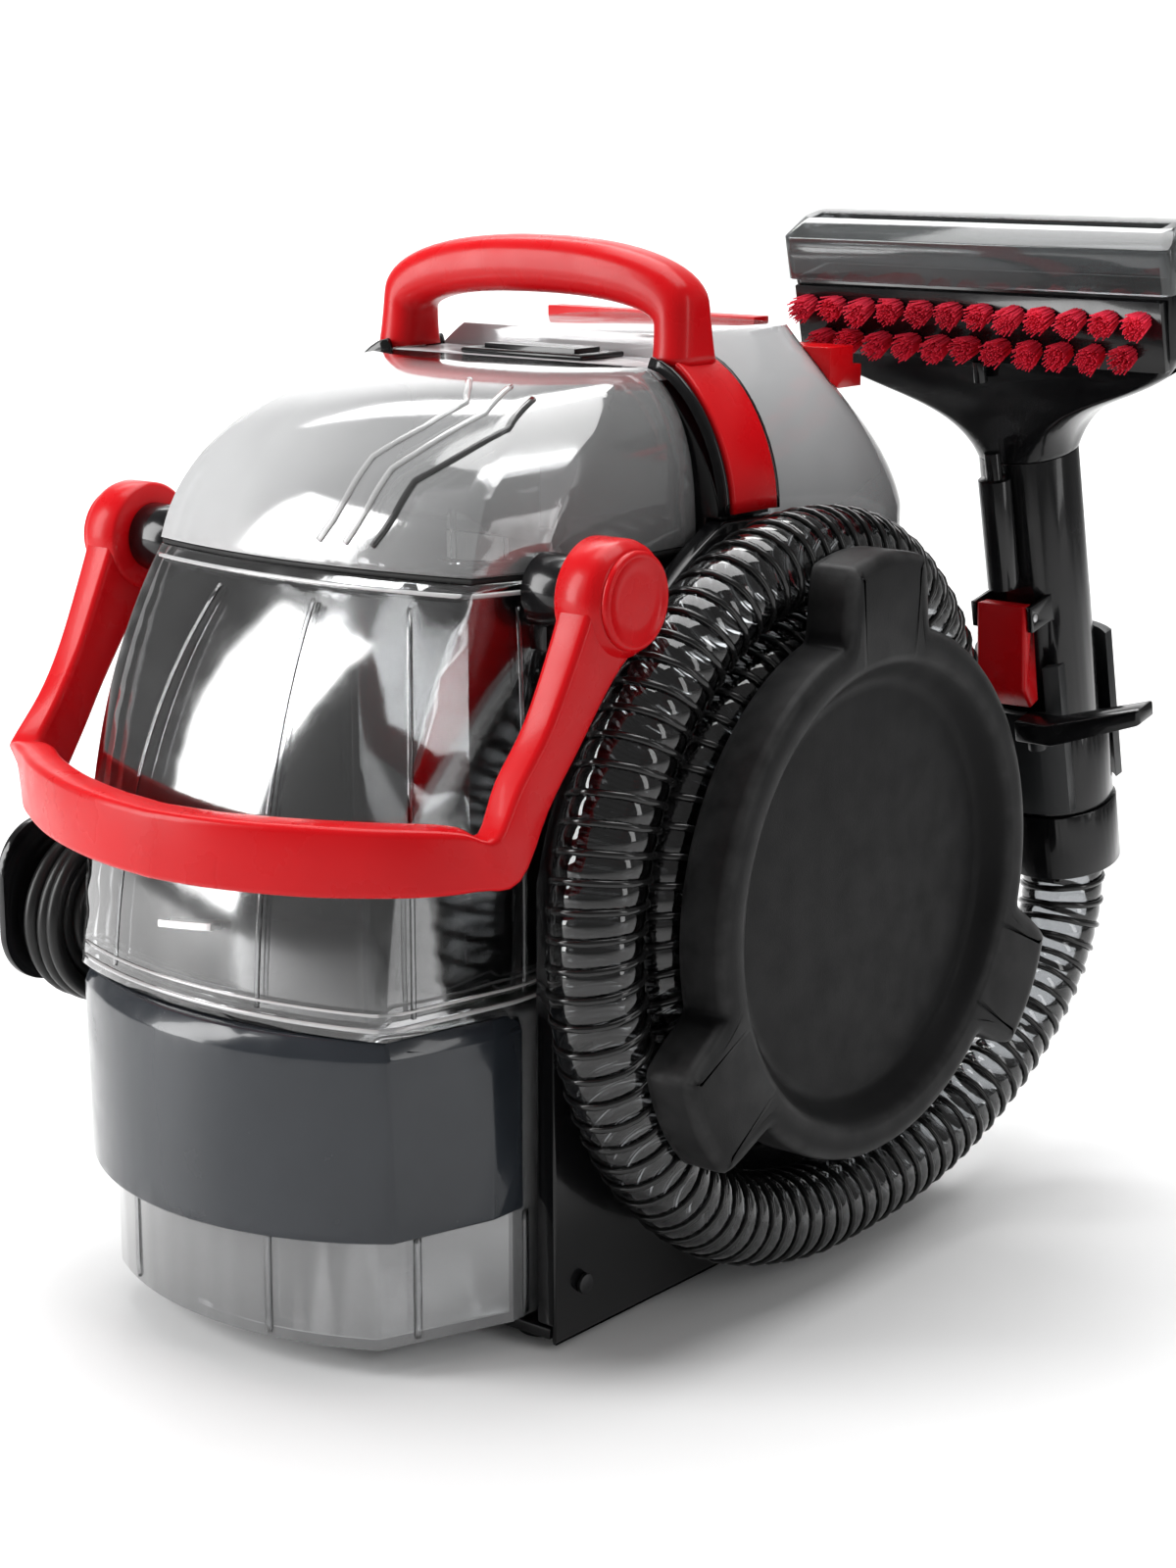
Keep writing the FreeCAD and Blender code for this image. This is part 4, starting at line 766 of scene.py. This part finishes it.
def make_tank_flange():
    """The two fine beads round the tank above the apron, and the level mark."""
    bm = bmesh.new()
    for height, width in ((121.5, 0.9), (126.5, 0.6), (254.5, 0.9)):
        places = []
        for degrees in range(-100, 101, 4):
            angle = math.radians(degrees)
            places.append(((0, -0.070, height * MM), (math.sin(angle), -math.cos(angle), 0)))
        add_rib(bm, rib_line("tank_shell", places), width * MM, 0.8 * MM)
    # The beads' white plastic is a painted highlight along them.
    keep(as_piece("tank_beads", bm), "clear_plastic", "dirty_tank", material=HIGHLIGHT_BEAD)
    bm = bmesh.new()
    places = []
    for step in range(9):
        angle = math.radians(-11 + 1.75 * step)
        places.append(((0, -0.070, 0.1435 + 0.0004 * step), (math.sin(angle), -math.cos(angle), 0)))
    add_rib(bm, rib_line("tank_shell", places), 1.3 * MM, 0.35 * MM)
    keep(as_piece("level_mark", bm), "float_plastic", "dirty_tank", material=WHITE_PRINT)


# The first two channel walls carry a painted highlight, the third painted shade.
LID_CHANNELS = (
    (HIGHLIGHT_BEAD, ((11, 265), (15, 272), (17, 279), (19, 292), (24, 297), (29, 302), (33, 310), (26, 314),
            (19, 317))),
    (HIGHLIGHT_BEAD, ((22, 265), (25, 271), (27, 277), (29, 289), (34, 294), (38, 299), (44, 307), (41, 312),
            (38, 316))),
    (PAINTED_SHADE_RIB, ((33, 265), (36, 270), (38, 275), (40, 286), (45, 290), (50, 295), (57, 303), (54, 308),
                  (51, 313))),
)


def make_lid_ribs():
    """Three stepped ribs that climb the lid's right front, the walls of its moulded channels."""
    for number, (material, corners) in enumerate(LID_CHANNELS, 1):
        bm = bmesh.new()
        places = []
        for (x0, z0), (x1, z1) in zip(corners, corners[1:]):
            for part in range(5):
                share = part / 5
                x, z = x0 + (x1 - x0) * share, z0 + (z1 - z0) * share
                places.append(((x * MM, -0.020, (z - 4) * MM), (0.0, -1, 0.06)))
        add_rib(bm, rib_line("tank_lid", places), 1.3 * MM, 1.0 * MM)
        keep(as_piece(f"lid_rib_{number}", bm), "clear_plastic", "lid", material=material)


# ---- CAD nodes that show as they are ----

def dress_cad_nodes():
    """Every CAD node takes its slot's material, a welded skin and softly rounded edges."""
    slots = {row["node"]: row["material_slot"] for row in frame["record"]["subparts"]}
    special = {"clean_tank_shell": CLEAN_TANK, "tank_shell": DIRTY_TANK, "tank_lid": LID,
               "upper_housing": NECK, "housing_screws": DARK_SCREW}
    round_by = {"tank_shell": 0.5, "tank_lid": 0.5, "skirt_panel": 1.2, "nozzle_window": 1.0,
                "nozzle_body": 0.8, "right_side_panel": 1.4, "left_side_panel": 1.4,
                "clean_tank_grip": 1.6, "switch_bezel": 0.8, "holder_latch": 1.2,
                "upper_housing": 1.0, "clean_tank_shell": 0.8}
    faceted = {"skirt_panel", "tank_shell"}
    for name, thing in nodes.items():
        thing.data.materials.clear()
        thing.data.materials.append(special.get(name, MATERIALS[slots[name]]))
        for face in thing.data.polygons:
            face.use_smooth = True
        weld = thing.modifiers.new("weld", "WELD")
        weld.merge_threshold = 1e-6
        bevel = thing.modifiers.new("edges", "BEVEL")
        bevel.width = round_by.get(name, 0.4) * MM
        bevel.segments = 2
        bevel.limit_method = "ANGLE"
        bevel.angle_limit = math.radians(14 if name in faceted else 38)
        bevel.harden_normals = True


# ---- Studio ----

def softbox(name, where, aim, size, power, colour=(1, 1, 1)):
    lamp = bpy.data.lights.new(name, "AREA")
    lamp.shape = "RECTANGLE"
    lamp.size, lamp.size_y = size
    lamp.energy = power
    lamp.color = colour
    holder = bpy.data.objects.new(name, lamp)
    bpy.context.scene.collection.objects.link(holder)
    holder.location = where
    holder.rotation_euler = (Vector(aim) - Vector(where)).to_track_quat("-Z", "Y").to_euler()


def make_studio():
    floor_look = Look("studio_paper")
    floor_look.feed(floor_look.shader, "Base Color",
                    floor_look.ramp(floor_look.noise(4, 2.0), (0.86, 0.86, 0.86), (0.9, 0.9, 0.9)))
    floor_look.shader.inputs["Roughness"].default_value = 0.6
    bm = bmesh.new()
    rows = []
    for y, z in [(-4, 0), (2.0, 0)] + [(2.0 + 1.2 * math.sin(a), 1.2 - 1.2 * math.cos(a))
                                       for a in (0.2, 0.4, 0.6, 0.8, 1.0, 1.2, 1.4, 1.57)] + [(3.2, 5)]:
        rows.append([bm.verts.new((x, y, z)) for x in (-6, 6)])
    for (a, b), (c, d) in zip(rows, rows[1:]):
        bm.faces.new((a, b, d, c))
    floor = as_piece("studio_floor", bm)
    floor.data.materials.append(floor_look.material)
    floor.rotation_euler = (0, 0, math.radians(39.1))
    world = bpy.data.worlds.new("studio")
    world.use_nodes = True
    world.node_tree.nodes["Background"].inputs["Color"].default_value = (1, 1, 1, 1)
    world.node_tree.nodes["Background"].inputs["Strength"].default_value = 0.3
    bpy.context.scene.world = world
    bpy.context.scene.view_settings.view_transform = "Standard"
    middle = (0, -0.02, 0.17)
    softbox("key_left", (-1.2, -1.3, 0.75), middle, (0.7, 1.4), 34)
    softbox("top", (0.0, 0.2, 1.7), middle, (1.5, 1.1), 28)
    softbox("strip_right", (1.75, 0.2, 0.7), (0.1, 0, 0.15), (0.35, 1.2), 5)
    softbox("back_wash", (-1.3, 1.2, 2.2), (-1.6, 2.2, 0.4), (1.8, 1.2), 60)


def make_camera():
    lens_data = bpy.data.cameras.new("camera")
    lens_data.sensor_width = 36
    lens_data.lens = 68.04
    camera = bpy.data.objects.new("camera", lens_data)
    bpy.context.scene.collection.objects.link(camera)
    azimuth, elevation = math.radians(39.1), math.radians(13.25)
    look = Vector((-math.sin(azimuth) * math.cos(elevation), math.cos(azimuth) * math.cos(elevation),
                   -math.sin(elevation)))
    camera.location = (0.679, -0.8096, 0.4105)
    camera.rotation_euler = look.to_track_quat("-Z", "Y").to_euler()
    bpy.context.scene.camera = camera


make_camera()
make_hose()
make_cord()
make_carry_handle()
make_bail()
make_bail_caps()
make_disc()
make_bristles()
make_tank_ribs()
make_tank_flange()
make_lid_ribs()
dress_cad_nodes()
make_studio()
